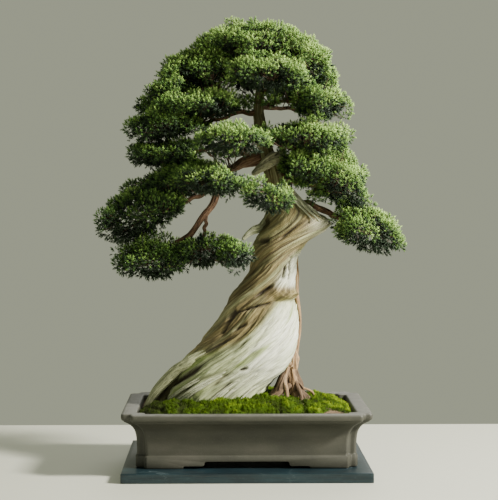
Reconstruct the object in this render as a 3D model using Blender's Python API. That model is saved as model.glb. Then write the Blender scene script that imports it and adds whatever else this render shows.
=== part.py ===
"""A juniper bonsai: a twisted bleached trunk with a strip of live bark, foliage pads, moss over soil, a footed
clay pot with indented corners, and the slate board it stands on. Metres, +Z up, origin at the middle of the
board's underside, +Y to the back."""

import math
import random

import bmesh
import bpy
from mathutils import Matrix, Vector

# Clearance between pieces that touch
GAP = 0.0003

# Slate board
BOARD_LENGTH = 0.496
BOARD_DEPTH = 0.414
BOARD_THICKNESS = 0.019
BOARD_BEVEL = 0.0012

# Pot
POT_LENGTH = 0.500
POT_DEPTH = 0.365
POT_HEIGHT = 0.1106
RIM_WIDTH = 0.0305
LIP_HEIGHT = 0.0145
RIM_OVERHANG = 0.028  # how far the rim stands out past the body
WALL = 0.0105
CORNER_STEP = 0.016  # how far each corner is set in
BELT_HEIGHT = 0.025
BELT_PROUD = 0.003
FOOT_HEIGHT = 0.0145  # clear height under the floor
FOOT_WIDTH = 0.014
FLOOR = 0.0095
FRONT_ARCH = 0.169  # length of the high part of the gap between the feet
FRONT_ARCH_FOOT = 0.042  # its low shoulder at each end
SIDE_ARCH = 0.095
SIDE_ARCH_FOOT = 0.030
ARCH_SHOULDER = 0.005  # height of the low shoulders
DRAIN_HOLE = 0.034
DRAIN_SPACING = 0.220

# Drainage screens and the wire clips that hold them
SCREEN = 0.052
SCREEN_THICKNESS = 0.0015
SCREEN_BARS = 4
SCREEN_BAR = 0.004
CLIP_WIRE = 0.0016
CLIP_ARM = 0.012  # length of each arm bent out under the floor

# Filling of the pot
GRIT_DEPTH = 0.014
SOIL_BELOW_RIM = 0.012  # soil's edge, below the rim's top
MOUND = 0.024  # rise of the soil in the middle
ROOT_BALL_SIDE = 0.033  # how far it reaches past the trunk's foot at each end
ROOT_BALL_FRONT = 0.005  # and to the front and the back
ROOT_BALL_CENTRE = -0.016
ROOT_BALL_SUNK = 0.002  # its top, below the soil's surface
MOSS_THICKNESS = 0.009
MOSS_MARGIN = 0.0025  # clear of the pot's wall
MOSS_SEAM_LEFT = 0.009  # the seams between the cushions, past the trunk's foot
MOSS_SEAM_RIGHT = 0.018
MOSS_DIVIDE = 0.004  # where the front cushion meets the back one

# Tree
TREE_HEIGHT = 0.790  # above the rim
CANOPY_HALF_WIDTH = 0.320
CANOPY_HALF_DEPTH = 0.210
TRUNK_WIDTH = 0.208  # across the foot
TRUNK_DEPTH = 0.160
TRUNK_TURN = 2.6  # twist of the grain up to the shoulder, in radians
VEIN_WIDTH = 0.013
ROOT_MARGIN = 0.011  # from the left root's tip to the pot's wall
ROOT_LEFT_Y = -0.012  # where the left root's tip enters the soil
BRANCH_SCALE = 1.0

POT_BASE = BOARD_THICKNESS + GAP
RIM_TOP = POT_BASE + POT_HEIGHT
FLOOR_TOP = POT_BASE + FOOT_HEIGHT + FLOOR
SOIL_EDGE = RIM_TOP - SOIL_BELOW_RIM
INNER_HALF_LENGTH = POT_LENGTH / 2 - RIM_WIDTH
INNER_HALF_DEPTH = POT_DEPTH / 2 - RIM_WIDTH
FLOOR_INSET = RIM_OVERHANG + WALL + 0.008  # the inner wall leans in by this much at the floor
ROOT_BALL_LENGTH = TRUNK_WIDTH + 2 * ROOT_BALL_SIDE
ROOT_BALL_DEPTH = TRUNK_DEPTH + 2 * ROOT_BALL_FRONT

TRUNK_SIDES = 22
TUBE_SIDES = 7
PAD_SIDES = 14
PAD_LEVELS = 7


# ---- Finishes and mesh helpers ----


def finish(name, colour, roughness, metallic=0.0):
    made = bpy.data.materials.new(name)
    made.use_nodes = True
    shader = made.node_tree.nodes["Principled BSDF"]
    shader.inputs["Base Color"].default_value = (*colour, 1)
    shader.inputs["Roughness"].default_value = roughness
    shader.inputs["Metallic"].default_value = metallic
    made.diffuse_color = (*colour, 1)
    return made


def add(name, bm, material, cutter=False):
    """Makes an object of the mesh. A cutter stays in the file but isn't a piece."""
    mesh = bpy.data.meshes.new(name)
    bm.to_mesh(mesh)
    bm.free()
    obj = bpy.data.objects.new(name, mesh)
    bpy.context.scene.collection.objects.link(obj)
    if cutter:
        obj.hide_render = True
        obj.display_type = "WIRE"
    else:
        mesh.materials.append(material)
        mesh.shade_smooth()
        mesh.set_sharp_from_angle(angle=math.radians(35))
    return obj


def cut(obj, cutter, operation="DIFFERENCE"):
    modifier = obj.modifiers.new("cut_" + cutter.name, "BOOLEAN")
    modifier.operation = operation
    modifier.solver = "EXACT"
    modifier.object = cutter


def reach(obj):
    """Lowest and highest corners of the object's own mesh."""
    points = [v.co for v in obj.data.vertices]
    return [(min(p[i] for p in points), max(p[i] for p in points)) for i in range(3)]


def cut_by_neighbours(obj, cutters):
    mine = reach(obj)
    for cutter in cutters:
        theirs = reach(cutter)
        if all(mine[i][0] < theirs[i][1] and theirs[i][0] < mine[i][1] for i in range(3)):
            cut(obj, cutter)


def loft(rings):
    """A closed skin of triangles through rings of the same number of points, capped at both ends. A piece and
    its wider cutter are split along the same diagonals, so that the clearance between them holds."""
    bm = bmesh.new()
    rows = [[bm.verts.new(p) for p in ring] for ring in rings]
    count = len(rows[0])
    for low, high in zip(rows, rows[1:]):
        for i in range(count):
            j = (i + 1) % count
            bm.faces.new((low[i], low[j], high[j]))
            bm.faces.new((low[i], high[j], high[i]))
    bm.faces.new(rows[0][::-1])
    bm.faces.new(rows[-1])
    bmesh.ops.recalc_face_normals(bm, faces=bm.faces)
    return bm


def block(name, low, high, material=None, cutter=False):
    bm = bmesh.new()
    bmesh.ops.create_cube(bm, size=1)
    for v in bm.verts:
        v.co = Vector(low[i] + (v.co[i] + 0.5) * (high[i] - low[i]) for i in range(3))
    return add(name, bm, material, cutter)


def mix(a, b, share):
    return a + (b - a) * share


def smooth_path(points, steps):
    """Points along a Catmull-Rom curve through the given ones."""
    ends = [2 * points[0] - points[1], *points, 2 * points[-1] - points[-2]]
    path = []
    for a, b, c, d in zip(ends, ends[1:], ends[2:], ends[3:]):
        for k in range(steps):
            t = k / steps
            path.append(
                0.5 * (2 * b + (c - a) * t + (2 * a - 5 * b + 4 * c - d) * t**2 + (3 * b - a - 3 * c + d) * t**3)
            )
    return path + [points[-1].copy()]


def tube_rings(path, radii, sides):
    """Rings round a path, turned as little as possible from one to the next."""
    rings = []
    across = None
    for i, point in enumerate(path):
        ahead = (path[min(i + 1, len(path) - 1)] - path[max(i - 1, 0)]).normalized()
        if across is None:
            across = ahead.orthogonal()
        across = (across - ahead * across.dot(ahead)).normalized()
        up = ahead.cross(across)
        turns = [2 * math.pi * k / sides for k in range(sides)]
        rings.append([point + radii[i] * (math.cos(a) * across + math.sin(a) * up) for a in turns])
    return rings


# ---- Slate board ----


def make_board():
    board = block(
        "slate_board",
        (-BOARD_LENGTH / 2, -BOARD_DEPTH / 2, 0),
        (BOARD_LENGTH / 2, BOARD_DEPTH / 2, BOARD_THICKNESS),
        finish("slate", (0.030, 0.052, 0.055), 0.45),
    )
    bevel = board.modifiers.new("worn_edges", "BEVEL")
    bevel.width = BOARD_BEVEL
    bevel.segments = 1


# ---- Pot ----


def pot_outline(inset, z):
    """The rim's outline set in by an amount: a rectangle whose corners step inwards, anticlockwise."""
    length = POT_LENGTH / 2 - inset
    depth = POT_DEPTH / 2 - inset
    bend = 0.35 * CORNER_STEP
    step = CORNER_STEP
    # Each bend: its centre, the angle where it starts and the angle that it turns through
    bends = [
        (length - step - bend, -depth + bend, -90, 90),
        (length - step + bend, -depth + step - bend, 180, -90),
        (length - bend, -depth + step + bend, -90, 90),
    ]
    quarter = []
    for x, y, start, turn in bends:
        for k in range(3):
            angle = math.radians(start + turn * k / 2)
            quarter.append((x + bend * math.cos(angle), y + bend * math.sin(angle)))
    right = quarter + [(x, -y) for x, y in reversed(quarter)]
    return [Vector((x, y, z)) for x, y in right + [(-x, -y) for x, y in right]]


def inner_inset(z):
    """How far the pot's inner wall is set in from the rim's outline at a height."""
    share = (z - FLOOR_TOP) / (RIM_TOP - FLOOR_TOP)
    return mix(FLOOR_INSET, RIM_WIDTH, share)


def make_pot():
    body = RIM_OVERHANG
    lip_base = POT_HEIGHT - LIP_HEIGHT
    flare = lip_base - BELT_HEIGHT
    # Inset and height above the pot's base, from the middle of the underside round to the floor
    profile = [
        (body + FOOT_WIDTH, FOOT_HEIGHT),
        (body + FOOT_WIDTH, 0),
        (body + 0.0015, 0),
        (body, 0.003),
        (body, BELT_HEIGHT - 0.001),
        (body + BELT_PROUD, BELT_HEIGHT + 0.0015),
        (body + 0.0015, BELT_HEIGHT + 0.35 * flare),
        (body - 0.001, BELT_HEIGHT + 0.64 * flare),
        (body - 0.007, BELT_HEIGHT + 0.82 * flare),
        (body - 0.0135, BELT_HEIGHT + 0.92 * flare),
        (0.0050, lip_base),
        (0.0008, lip_base + 0.0015),
        (0, POT_HEIGHT - 0.55 * LIP_HEIGHT),
        (0.0008, POT_HEIGHT - 0.0018),
        (0.0032, POT_HEIGHT),
        (RIM_WIDTH, POT_HEIGHT),
    ]
    rings = [pot_outline(inset, POT_BASE + z) for inset, z in profile]
    rings.append(pot_outline(FLOOR_INSET, FLOOR_TOP))
    clay = finish("unglazed_clay", (0.060, 0.055, 0.045), 0.62)
    pot = add("pot", loft(rings), clay)
    for x in (-DRAIN_SPACING / 2, DRAIN_SPACING / 2):
        turns = [2 * math.pi * k / 20 for k in range(20)]
        rings = [
            [Vector((x + DRAIN_HOLE / 2 * math.cos(a), DRAIN_HOLE / 2 * math.sin(a), z)) for a in turns]
            for z in (POT_BASE + FOOT_HEIGHT / 2, FLOOR_TOP + FLOOR)
        ]
        cut(pot, add("drain_cutter", loft(rings), None, cutter=True))
    cut(pot, arch_cutter("front_arch", FRONT_ARCH, FRONT_ARCH_FOOT, POT_DEPTH, False))
    cut(pot, arch_cutter("side_arch", SIDE_ARCH, SIDE_ARCH_FOOT, POT_LENGTH, True))


def arch_cutter(name, high_length, shoulder, through, sideways):
    """The cloud-shaped gap between two feet, run through the pot from face to face."""
    top = POT_BASE + FOOT_HEIGHT - 0.0004
    low = POT_BASE + ARCH_SHOULDER
    under = POT_BASE - 0.004
    high = high_length / 2
    side = [
        (high + shoulder, under),
        (high + shoulder, low - 0.003),
        (high + shoulder - 0.003, low),
        (high + 0.004, low),
        (high, low + 0.004),
        (high, top - 0.004),
        (high - 0.004, top),
    ]
    outline = side + [(-x, z) for x, z in reversed(side)]
    half = through / 2
    rings = []
    for far in (-half, half):
        rings.append([Vector((far, a, z) if sideways else (a, far, z)) for a, z in outline])
    return add(name, loft(rings), None, cutter=True)


# ---- Drainage: screens, clips and grit ----


def screen_lines():
    """Where the screen's bars begin and end, across its width."""
    pitch = (SCREEN - SCREEN_BAR) / SCREEN_BARS
    return [-SCREEN / 2 + k * pitch + side for k in range(SCREEN_BARS + 1) for side in (0, SCREEN_BAR)]


def make_screen(name, x, material):
    lines = screen_lines()
    bm = bmesh.new()
    base = FLOOR_TOP + GAP
    points = [[bm.verts.new((x + a, b, base)) for a in lines] for b in lines]
    for j in range(len(lines) - 1):
        for i in range(len(lines) - 1):
            if i % 2 == 0 or j % 2 == 0:
                corners = (points[j][i], points[j][i + 1], points[j + 1][i + 1], points[j + 1][i])
                bm.faces.new(corners)
    screen = add(name, bm, material)
    thick = screen.modifiers.new("thickness", "SOLIDIFY")
    thick.thickness = SCREEN_THICKNESS
    thick.offset = 1


def make_clip(name, x, material):
    """A wire laid over the screen, down through the hole at both ends and bent out under the floor."""
    lines = screen_lines()
    middle = len(lines) // 2
    leg = (lines[middle] + lines[middle + 1]) / 2
    if abs(leg) < SCREEN_BAR:
        leg += lines[middle + 2] - lines[middle]
    top = FLOOR_TOP + GAP + SCREEN_THICKNESS + GAP + CLIP_WIRE / 2
    under = POT_BASE + FOOT_HEIGHT - GAP - CLIP_WIRE / 2
    bend = CLIP_WIRE
    route = [
        (leg + CLIP_ARM, under),
        (leg + bend, under),
        (leg, under + bend),
        (leg, top - bend),
        (leg - bend, top),
    ]
    route += [(-a, z) for a, z in reversed(route)]
    curve = bpy.data.curves.new(name, "CURVE")
    curve.dimensions = "3D"
    curve.bevel_depth = CLIP_WIRE / 2
    curve.bevel_resolution = 1
    curve.use_fill_caps = True
    spline = curve.splines.new("POLY")
    spline.points.add(len(route) - 1)
    for point, (a, z) in zip(spline.points, route):
        point.co = (x + a, leg, z, 1)
    curve.materials.append(material)
    obj = bpy.data.objects.new(name, curve)
    bpy.context.scene.collection.objects.link(obj)


def make_drainage():
    plastic = finish("screen_plastic", (0.020, 0.020, 0.022), 0.50)
    wire = finish("clip_wire", (0.35, 0.33, 0.31), 0.40, 0.9)
    for side, x in (("left", -DRAIN_SPACING / 2), ("right", DRAIN_SPACING / 2)):
        make_screen("drainage_screen_" + side, x, plastic)
        make_clip("screen_clip_" + side, x, wire)
    low = FLOOR_TOP + GAP
    rings = [pot_outline(inner_inset(z) + GAP, z) for z in (low, FLOOR_TOP + GRIT_DEPTH)]
    grit = add("drainage_grit", loft(rings), finish("grit", (0.22, 0.17, 0.12), 0.9))
    room = SCREEN / 2 + 2 * GAP
    top = low + SCREEN_THICKNESS + CLIP_WIRE + 4 * GAP
    for x in (-DRAIN_SPACING / 2, DRAIN_SPACING / 2):
        pocket = block("screen_room", (x - room, -room, low - FLOOR / 2), (x + room, room, top), cutter=True)
        cut(grit, pocket)


# ---- Soil, root ball and moss ----


def mound(x, y):
    """Height of the soil's surface, level at the pot's wall and raised in the middle."""
    u = min(abs(x) / INNER_HALF_LENGTH, 1)
    v = min(abs(y) / INNER_HALF_DEPTH, 1)
    return SOIL_EDGE + MOUND * (1 - u**4) * (1 - v**4)


def soil_shape(name, lift, material=None, cutter=False):
    """The filling above the grit, up to the mounded surface raised by lift."""
    low = FLOOR_TOP + GRIT_DEPTH + GAP
    rings = [pot_outline(inner_inset(low) + GAP, low)]
    edge = pot_outline(inner_inset(SOIL_EDGE) + GAP, SOIL_EDGE)
    for share in (1, 0.93, 0.84, 0.72, 0.56, 0.36):
        level = []
        for p in edge:
            x, y = p.x * share, p.y * share
            level.append(Vector((x, y, lift + (SOIL_EDGE if share == 1 else mound(x, y)))))
        rings.append(level)
    return add(name, loft(rings), material, cutter)


def make_soil(cutters):
    soil = soil_shape("soil", 0, finish("soil", (0.10, 0.065, 0.040), 0.95))
    cut(soil, root_ball_shape("root_ball_room", GAP, cutter=True))
    cut_by_neighbours(soil, cutters)


def root_ball_shape(name, extra, material=None, cutter=False):
    """An upright block of roots and soil with round ends. As a cutter it runs out through the soil's top."""
    low = FLOOR_TOP + GRIT_DEPTH + GAP - (GAP if cutter else 0)
    sides = 24
    if cutter:
        levels = [(1, low - 0.002), (1, RIM_TOP + MOUND)]
    else:
        levels = [(0.94, low + GAP), (1, low + 0.006), (1, None), (0.7, None), (0.36, None)]
    rings = []
    for share, z in levels:
        ring = []
        for k in range(sides):
            angle = 2 * math.pi * k / sides
            c, s = math.cos(angle), math.sin(angle)
            x = ROOT_BALL_CENTRE + share * (ROOT_BALL_LENGTH / 2 + extra) * math.copysign(abs(c) ** 0.6, c)
            y = share * (ROOT_BALL_DEPTH / 2 + extra) * math.copysign(abs(s) ** 0.6, s)
            ring.append(Vector((x, y, mound(x, y) - ROOT_BALL_SUNK if z is None else z)))
        rings.append(ring)
    return add(name, loft(rings), material, cutter)


def make_root_ball(cutters):
    ball = root_ball_shape("root_ball", 0, finish("root_mass", (0.12, 0.075, 0.045), 0.95))
    cut_by_neighbours(ball, cutters)


def make_moss(name, left, right, front, back, inside, cutters):
    """A cushion of moss over one part of the mound, thinning out to its edges."""
    columns, rows = 9, 8
    low, high = [], []
    bm = bmesh.new()
    for j in range(rows + 1):
        for i in range(columns + 1):
            u, v = 2 * i / columns - 1, 2 * j / rows - 1
            # Pulls the corners in, so that the cushion has a round outline
            x = (left + right) / 2 + (right - left) / 2 * u * (1 - 0.10 * v * v)
            y = (front + back) / 2 + (back - front) / 2 * v * (1 - 0.10 * u * u)
            thick = MOSS_THICKNESS * (0.25 + 0.75 * (1 - u**6) * (1 - v**6))
            bottom = mound(x, y)
            low.append(bm.verts.new((x, y, bottom - MOSS_THICKNESS / 2)))
            high.append(bm.verts.new((x, y, bottom + thick)))
    wide = columns + 1
    for j in range(rows):
        for i in range(columns):
            a, b = j * wide + i, (j + 1) * wide + i
            bm.faces.new((low[a], low[b], low[b + 1], low[a + 1]))
            bm.faces.new((high[a], high[a + 1], high[b + 1], high[b]))
    border = [i for i in range(wide)]
    border += [j * wide + columns for j in range(1, rows + 1)]
    border += [rows * wide + i for i in range(columns - 1, -1, -1)]
    border += [j * wide for j in range(rows - 1, 0, -1)]
    for a, b in zip(border, border[1:] + border[:1]):
        bm.faces.new((low[a], low[b], high[b], high[a]))
    bmesh.ops.recalc_face_normals(bm, faces=bm.faces)
    moss = add(name, bm, bpy.data.materials["moss"])
    cut(moss, inside, "INTERSECT")
    cut_by_neighbours(moss, cutters)


def make_ground_cover(cutters):
    finish("moss", (0.130, 0.170, 0.020), 0.95)
    cutters = [soil_shape("soil_room", GAP, cutter=True), *cutters]
    levels = (FLOOR_TOP, RIM_TOP)
    rings = [pot_outline(inner_inset(z) + MOSS_MARGIN, z) for z in levels]
    rings.append(pot_outline(RIM_WIDTH + MOSS_MARGIN, RIM_TOP + MOUND))
    inside = add("pot_inside", loft(rings), None, cutter=True)
    x_end, y_end = INNER_HALF_LENGTH, INNER_HALF_DEPTH
    seam = 2 * GAP
    left_seam, right_seam = -TRUNK_WIDTH / 2 - MOSS_SEAM_LEFT, TRUNK_WIDTH / 2 + MOSS_SEAM_RIGHT
    middle = MOSS_DIVIDE
    root_side = ROOT_LEFT_Y - 0.016
    make_moss("moss_left", -x_end, left_seam - seam, -y_end, root_side, inside, cutters)
    make_moss("moss_front", left_seam + seam, right_seam - seam, -y_end, middle - seam, inside, cutters)
    make_moss("moss_right", right_seam + seam, x_end, -y_end, y_end, inside, cutters)
    make_moss("moss_back", left_seam + seam, right_seam - seam, middle + seam, y_end, inside, cutters)


# ---- Tree ----


def at(across, deep, up):
    """A point of the tree from shares of its half width, its half depth and its height above the rim."""
    return Vector((across * CANOPY_HALF_WIDTH, deep * CANOPY_HALF_DEPTH, RIM_TOP + up * TREE_HEIGHT))


# Height, middle, half width and half depth, as shares of the tree's height, the canopy's half width and the
# trunk's half width and half depth at its foot
TRUNK_SECTIONS = [
    (-0.014, -0.21, 1.00, 1.00),
    (0.035, -0.19, 0.96, 1.00),
    (0.069, -0.14, 1.04, 0.99),
    (0.093, -0.09, 1.12, 0.98),
    (0.127, -0.03, 1.03, 0.94),
    (0.159, 0.01, 0.96, 0.89),
    (0.191, 0.05, 0.86, 0.83),
    (0.228, 0.08, 0.78, 0.76),
    (0.275, 0.10, 0.66, 0.68),
    (0.316, 0.14, 0.54, 0.59),
    (0.342, 0.17, 0.46, 0.53),
    (0.388, 0.19, 0.44, 0.50),
    (0.416, 0.21, 0.50, 0.50),
    (0.442, 0.26, 0.57, 0.51),
    (0.469, 0.30, 0.60, 0.53),
    (0.494, 0.29, 0.52, 0.50),
    (0.519, 0.26, 0.37, 0.43),
    (0.559, 0.22, 0.25, 0.34),
    (0.598, 0.19, 0.20, 0.28),
    (0.646, 0.15, 0.16, 0.23),
    (0.690, 0.11, 0.14, 0.19),
    (0.770, 0.08, 0.10, 0.14),
    (0.850, 0.10, 0.07, 0.09),
    (0.902, 0.11, 0.04, 0.05),
]
SHOULDER = 0.48  # share of the height where the trunk's grain stops turning
LOBES = 5
LOBE_DEPTH = 0.045


def trunk_section(up):
    """Middle, half width and half depth of the trunk at a share of the tree's height."""
    for low, high in zip(TRUNK_SECTIONS, TRUNK_SECTIONS[1:]):
        if up <= high[0] or high is TRUNK_SECTIONS[-1]:
            share = (up - low[0]) / (high[0] - low[0])
            across, wide, deep = (mix(low[i], high[i], share) for i in (1, 2, 3))
            return at(across, 0, up), wide * TRUNK_WIDTH / 2, deep * TRUNK_DEPTH / 2


def trunk_point(up, angle, extra=0.0):
    """A point on the trunk's surface, at an angle from +X towards the back."""
    middle, wide, deep = trunk_section(up)
    turned = angle - TRUNK_TURN * min(up / SHOULDER, 1)
    fade = max(0.0, 1 - up / 0.62)
    lobe = 1 + LOBE_DEPTH * fade * math.cos(LOBES * turned)
    reach_x = wide * lobe + extra
    reach_y = deep * lobe + extra
    return middle + Vector((reach_x * math.cos(angle), reach_y * math.sin(angle), 0))


def trunk_shape(name, extra, material=None, cutter=False):
    rings = []
    levels = [s[0] for s in TRUNK_SECTIONS]
    for k, up in enumerate(levels):
        ring = [trunk_point(up, 2 * math.pi * i / TRUNK_SIDES, extra) for i in range(TRUNK_SIDES)]
        if k in (0, len(levels) - 1):
            for p in ring:
                p.z += extra * (1 if k else -1)
        rings.append(ring)
    return add(name, loft(rings), material, cutter)


class Wood:
    """Every wooden piece in the order of making. Each is cut back from those before it."""

    def __init__(self):
        self.rooms = []
        self.paths = {}

    def grow(self, name, points, radii, material, sides=TUBE_SIDES, steps=2):
        """A tapering round stem through the points. radii are given at as many places, evenly spaced."""
        path = smooth_path([Vector(p) for p in points], steps)
        along = [k * (len(radii) - 1) / (len(path) - 1) for k in range(len(path))]
        widths = [mix(radii[int(a)], radii[min(int(a) + 1, len(radii) - 1)], a - int(a)) for a in along]
        tip = (path[-1] - path[-2]).normalized()
        # The end is rounded off by one narrow ring past the last point
        rings = tube_rings(path + [path[-1] + tip * widths[-1] * 0.8], widths + [widths[-1] * 0.45], sides)
        stem = add(name, loft(rings), material)
        cut_by_neighbours(stem, self.rooms)
        self.paths[name] = path
        wider = [w + GAP for w in widths]
        rings = tube_rings(
            [path[0] - (path[1] - path[0]).normalized() * GAP, *path[1:], path[-1] + tip * (widths[-1] * 0.8 + GAP)],
            wider + [widths[-1] * 0.45 + GAP],
            sides,
        )
        self.rooms.append(add(name + "_room", loft(rings), None, cutter=True))

    def start(self, parent, share):
        """A point on a piece's own path, at a share of its length."""
        path = self.paths[parent]
        place = share * (len(path) - 1)
        k = min(int(place), len(path) - 2)
        return path[k].lerp(path[k + 1], place - k)


def make_trunk(wood):
    trunk_shape("trunk", 0, finish("deadwood", (0.62, 0.60, 0.48), 0.75))
    wood.rooms.append(trunk_shape("trunk_room", GAP, cutter=True))


def make_vein(wood):
    """The strip of live bark: up the right side from the roots, round to the back, and on to the crown."""
    bark = finish("live_bark", (0.36, 0.22, 0.13), 0.85)
    # Share of the height, angle round the trunk in degrees, and width as a share of the strip's
    course = [
        (0.085, -22, 1.25),
        (0.112, -6, 1.7),
        (0.140, -2, 1.15),
        (0.190, 0, 0.80),
        (0.240, 0, 0.72),
        (0.290, 3, 0.75),
        (0.340, 12, 0.95),
        (0.390, 38, 1.2),
        (0.440, 66, 1.5),
        (0.500, 84, 1.6),
        (0.560, 92, 1.4),
        (0.630, 92, 1.2),
        (0.710, 90, 1.0),
        (0.800, 90, 0.75),
        (0.870, 90, 0.55),
    ]
    points = [trunk_point(up, math.radians(angle), 0.15 * VEIN_WIDTH) for up, angle, _ in course]
    wood.grow("live_vein", points, [VEIN_WIDTH / 2 * width for _, _, width in course], bark, sides=9, steps=1)


def make_roots(wood):
    bark = bpy.data.materials["live_bark"]
    deadwood = bpy.data.materials["deadwood"]
    buried = SOIL_EDGE - 0.002
    tip = -(INNER_HALF_LENGTH - ROOT_MARGIN)
    spread = TRUNK_WIDTH / 2
    # The bleached root runs out from the trunk's left side, down to the soil by the pot's wall
    side = trunk_point(0.09, math.pi)
    start = trunk_section(0.11)[0] - Vector((0.25 * spread, 0.02, 0))
    end = Vector((tip, ROOT_LEFT_Y, buried))
    points = [start, side + Vector((0.012, -0.008, -0.006))]
    points += [side.lerp(end, share) + Vector((0, -0.008, rise)) for share, rise in ((0.45, 0.011), (0.85, 0.014))]
    wood.grow("root_left", points + [end], [0.018, 0.013, 0.010, 0.008, 0.006], deadwood, sides=8)

    knot = wood.start("live_vein", 1 / 14)
    lowest = Vector((knot.x, knot.y, buried))
    drop = (knot.z - buried) / 3
    routes = {
        "root_main": [(0.008, -0.006, 1.0), (0.012, -0.012, 2.0), (0.013, -0.018, 3.0)],
        "root_front": [(-0.014, -0.020, 0.9), (-0.026, -0.034, 1.9), (-0.034, -0.044, 3.0)],
        "root_right": [(0.016, 0.008, 1.1), (0.030, 0.014, 2.2), (0.042, 0.014, 3.0)],
    }
    for name, route in routes.items():
        points = [knot] + [Vector((lowest.x + x, lowest.y + y, knot.z - n * drop)) for x, y, n in route]
        wood.grow(name, points, [0.0095, 0.0095, 0.0085, 0.0075], bark, sides=8)


def make_jins(wood):
    deadwood = bpy.data.materials["deadwood"]
    start = trunk_section(0.62)[0]
    points = [start, at(0.23, -0.10, 0.645), at(0.235, -0.16, 0.690)]
    wood.grow("jin_crown", points, [0.014, 0.010, 0.0025], deadwood)
    start = trunk_section(0.462)[0]
    points = [start, at(0.10, -0.02, 0.462), at(0.02, -0.06, 0.448), at(-0.025, -0.09, 0.430)]
    wood.grow("jin_stub", points, [0.012, 0.010, 0.006, 0.003], deadwood)


# Each branch: its parent, where it leaves it (a share of the tree's height on the trunk, or of the parent's
# length), the points that it passes through and its radii at the start and the tip
BRANCHES = {
    "low_left": (
        "trunk", 0.665,
        [(0.00, -0.05, 0.635), (-0.14, -0.14, 0.600), (-0.19, -0.17, 0.545), (-0.26, -0.19, 0.501),
         (-0.32, -0.19, 0.457), (-0.43, -0.14, 0.427), (-0.56, -0.10, 0.390)],
        0.0095, 0.0045,
    ),
    "low_left_fork": ("low_left", 0.60, [(-0.26, -0.21, 0.459), (-0.30, -0.24, 0.405)], 0.0045, 0.0030),
    "left_arm": (
        "low_left", 0.33,
        [(-0.30, -0.14, 0.548), (-0.48, -0.12, 0.519), (-0.62, -0.10, 0.503)],
        0.0055, 0.0035,
    ),
    "left_upper_arm": (
        "trunk", 0.640,
        [(-0.07, 0.05, 0.622), (-0.27, 0.00, 0.592), (-0.44, -0.05, 0.569)],
        0.0065, 0.0035,
    ),
    "left_mid": (
        "trunk", 0.700,
        [(-0.07, 0.05, 0.694), (-0.27, 0.05, 0.668), (-0.43, 0.05, 0.654)],
        0.0060, 0.0035,
    ),
    "left_high": (
        "trunk", 0.765,
        [(-0.09, -0.03, 0.755), (-0.27, -0.08, 0.738), (-0.46, -0.14, 0.728)],
        0.0050, 0.0032,
    ),
    "crown_right": (
        "trunk", 0.815,
        [(0.22, -0.02, 0.833), (0.33, -0.05, 0.850), (0.40, -0.05, 0.880)],
        0.0040, 0.0026,
    ),
    "right_high": (
        "trunk", 0.785,
        [(0.22, -0.05, 0.796), (0.34, -0.10, 0.789), (0.44, -0.12, 0.790)],
        0.0045, 0.0030,
    ),
    "right_mid": ("trunk", 0.690, [(0.22, -0.14, 0.682), (0.33, -0.29, 0.668)], 0.0060, 0.0040),
    "right_arm": (
        "trunk", 0.600,
        [(0.33, -0.10, 0.585), (0.47, -0.10, 0.572), (0.64, -0.05, 0.550)],
        0.0085, 0.0040,
    ),
    "right_low": (
        "trunk", 0.520,
        [(0.43, 0.05, 0.520), (0.57, 0.05, 0.497), (0.69, 0.00, 0.465)],
        0.0100, 0.0040,
    ),
    "back_high": ("trunk", 0.770, [(0.12, 0.29, 0.780), (0.24, 0.45, 0.782), (0.36, 0.55, 0.776)], 0.0050, 0.0030),
    "back_low": ("trunk", 0.625, [(0.17, 0.29, 0.628), (0.27, 0.45, 0.622), (0.38, 0.53, 0.612)], 0.0065, 0.0035),
}


def make_branches(wood):
    bark = finish("branch_bark", (0.20, 0.095, 0.045), 0.9)
    for name, (parent, where, route, thick, thin) in BRANCHES.items():
        start = trunk_section(where)[0] if parent == "trunk" else wood.start("branch_" + parent, where)
        points = [start] + [at(*place) for place in route]
        wood.grow("branch_" + name, points, [thick * BRANCH_SCALE, thin * BRANCH_SCALE], bark)


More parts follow.
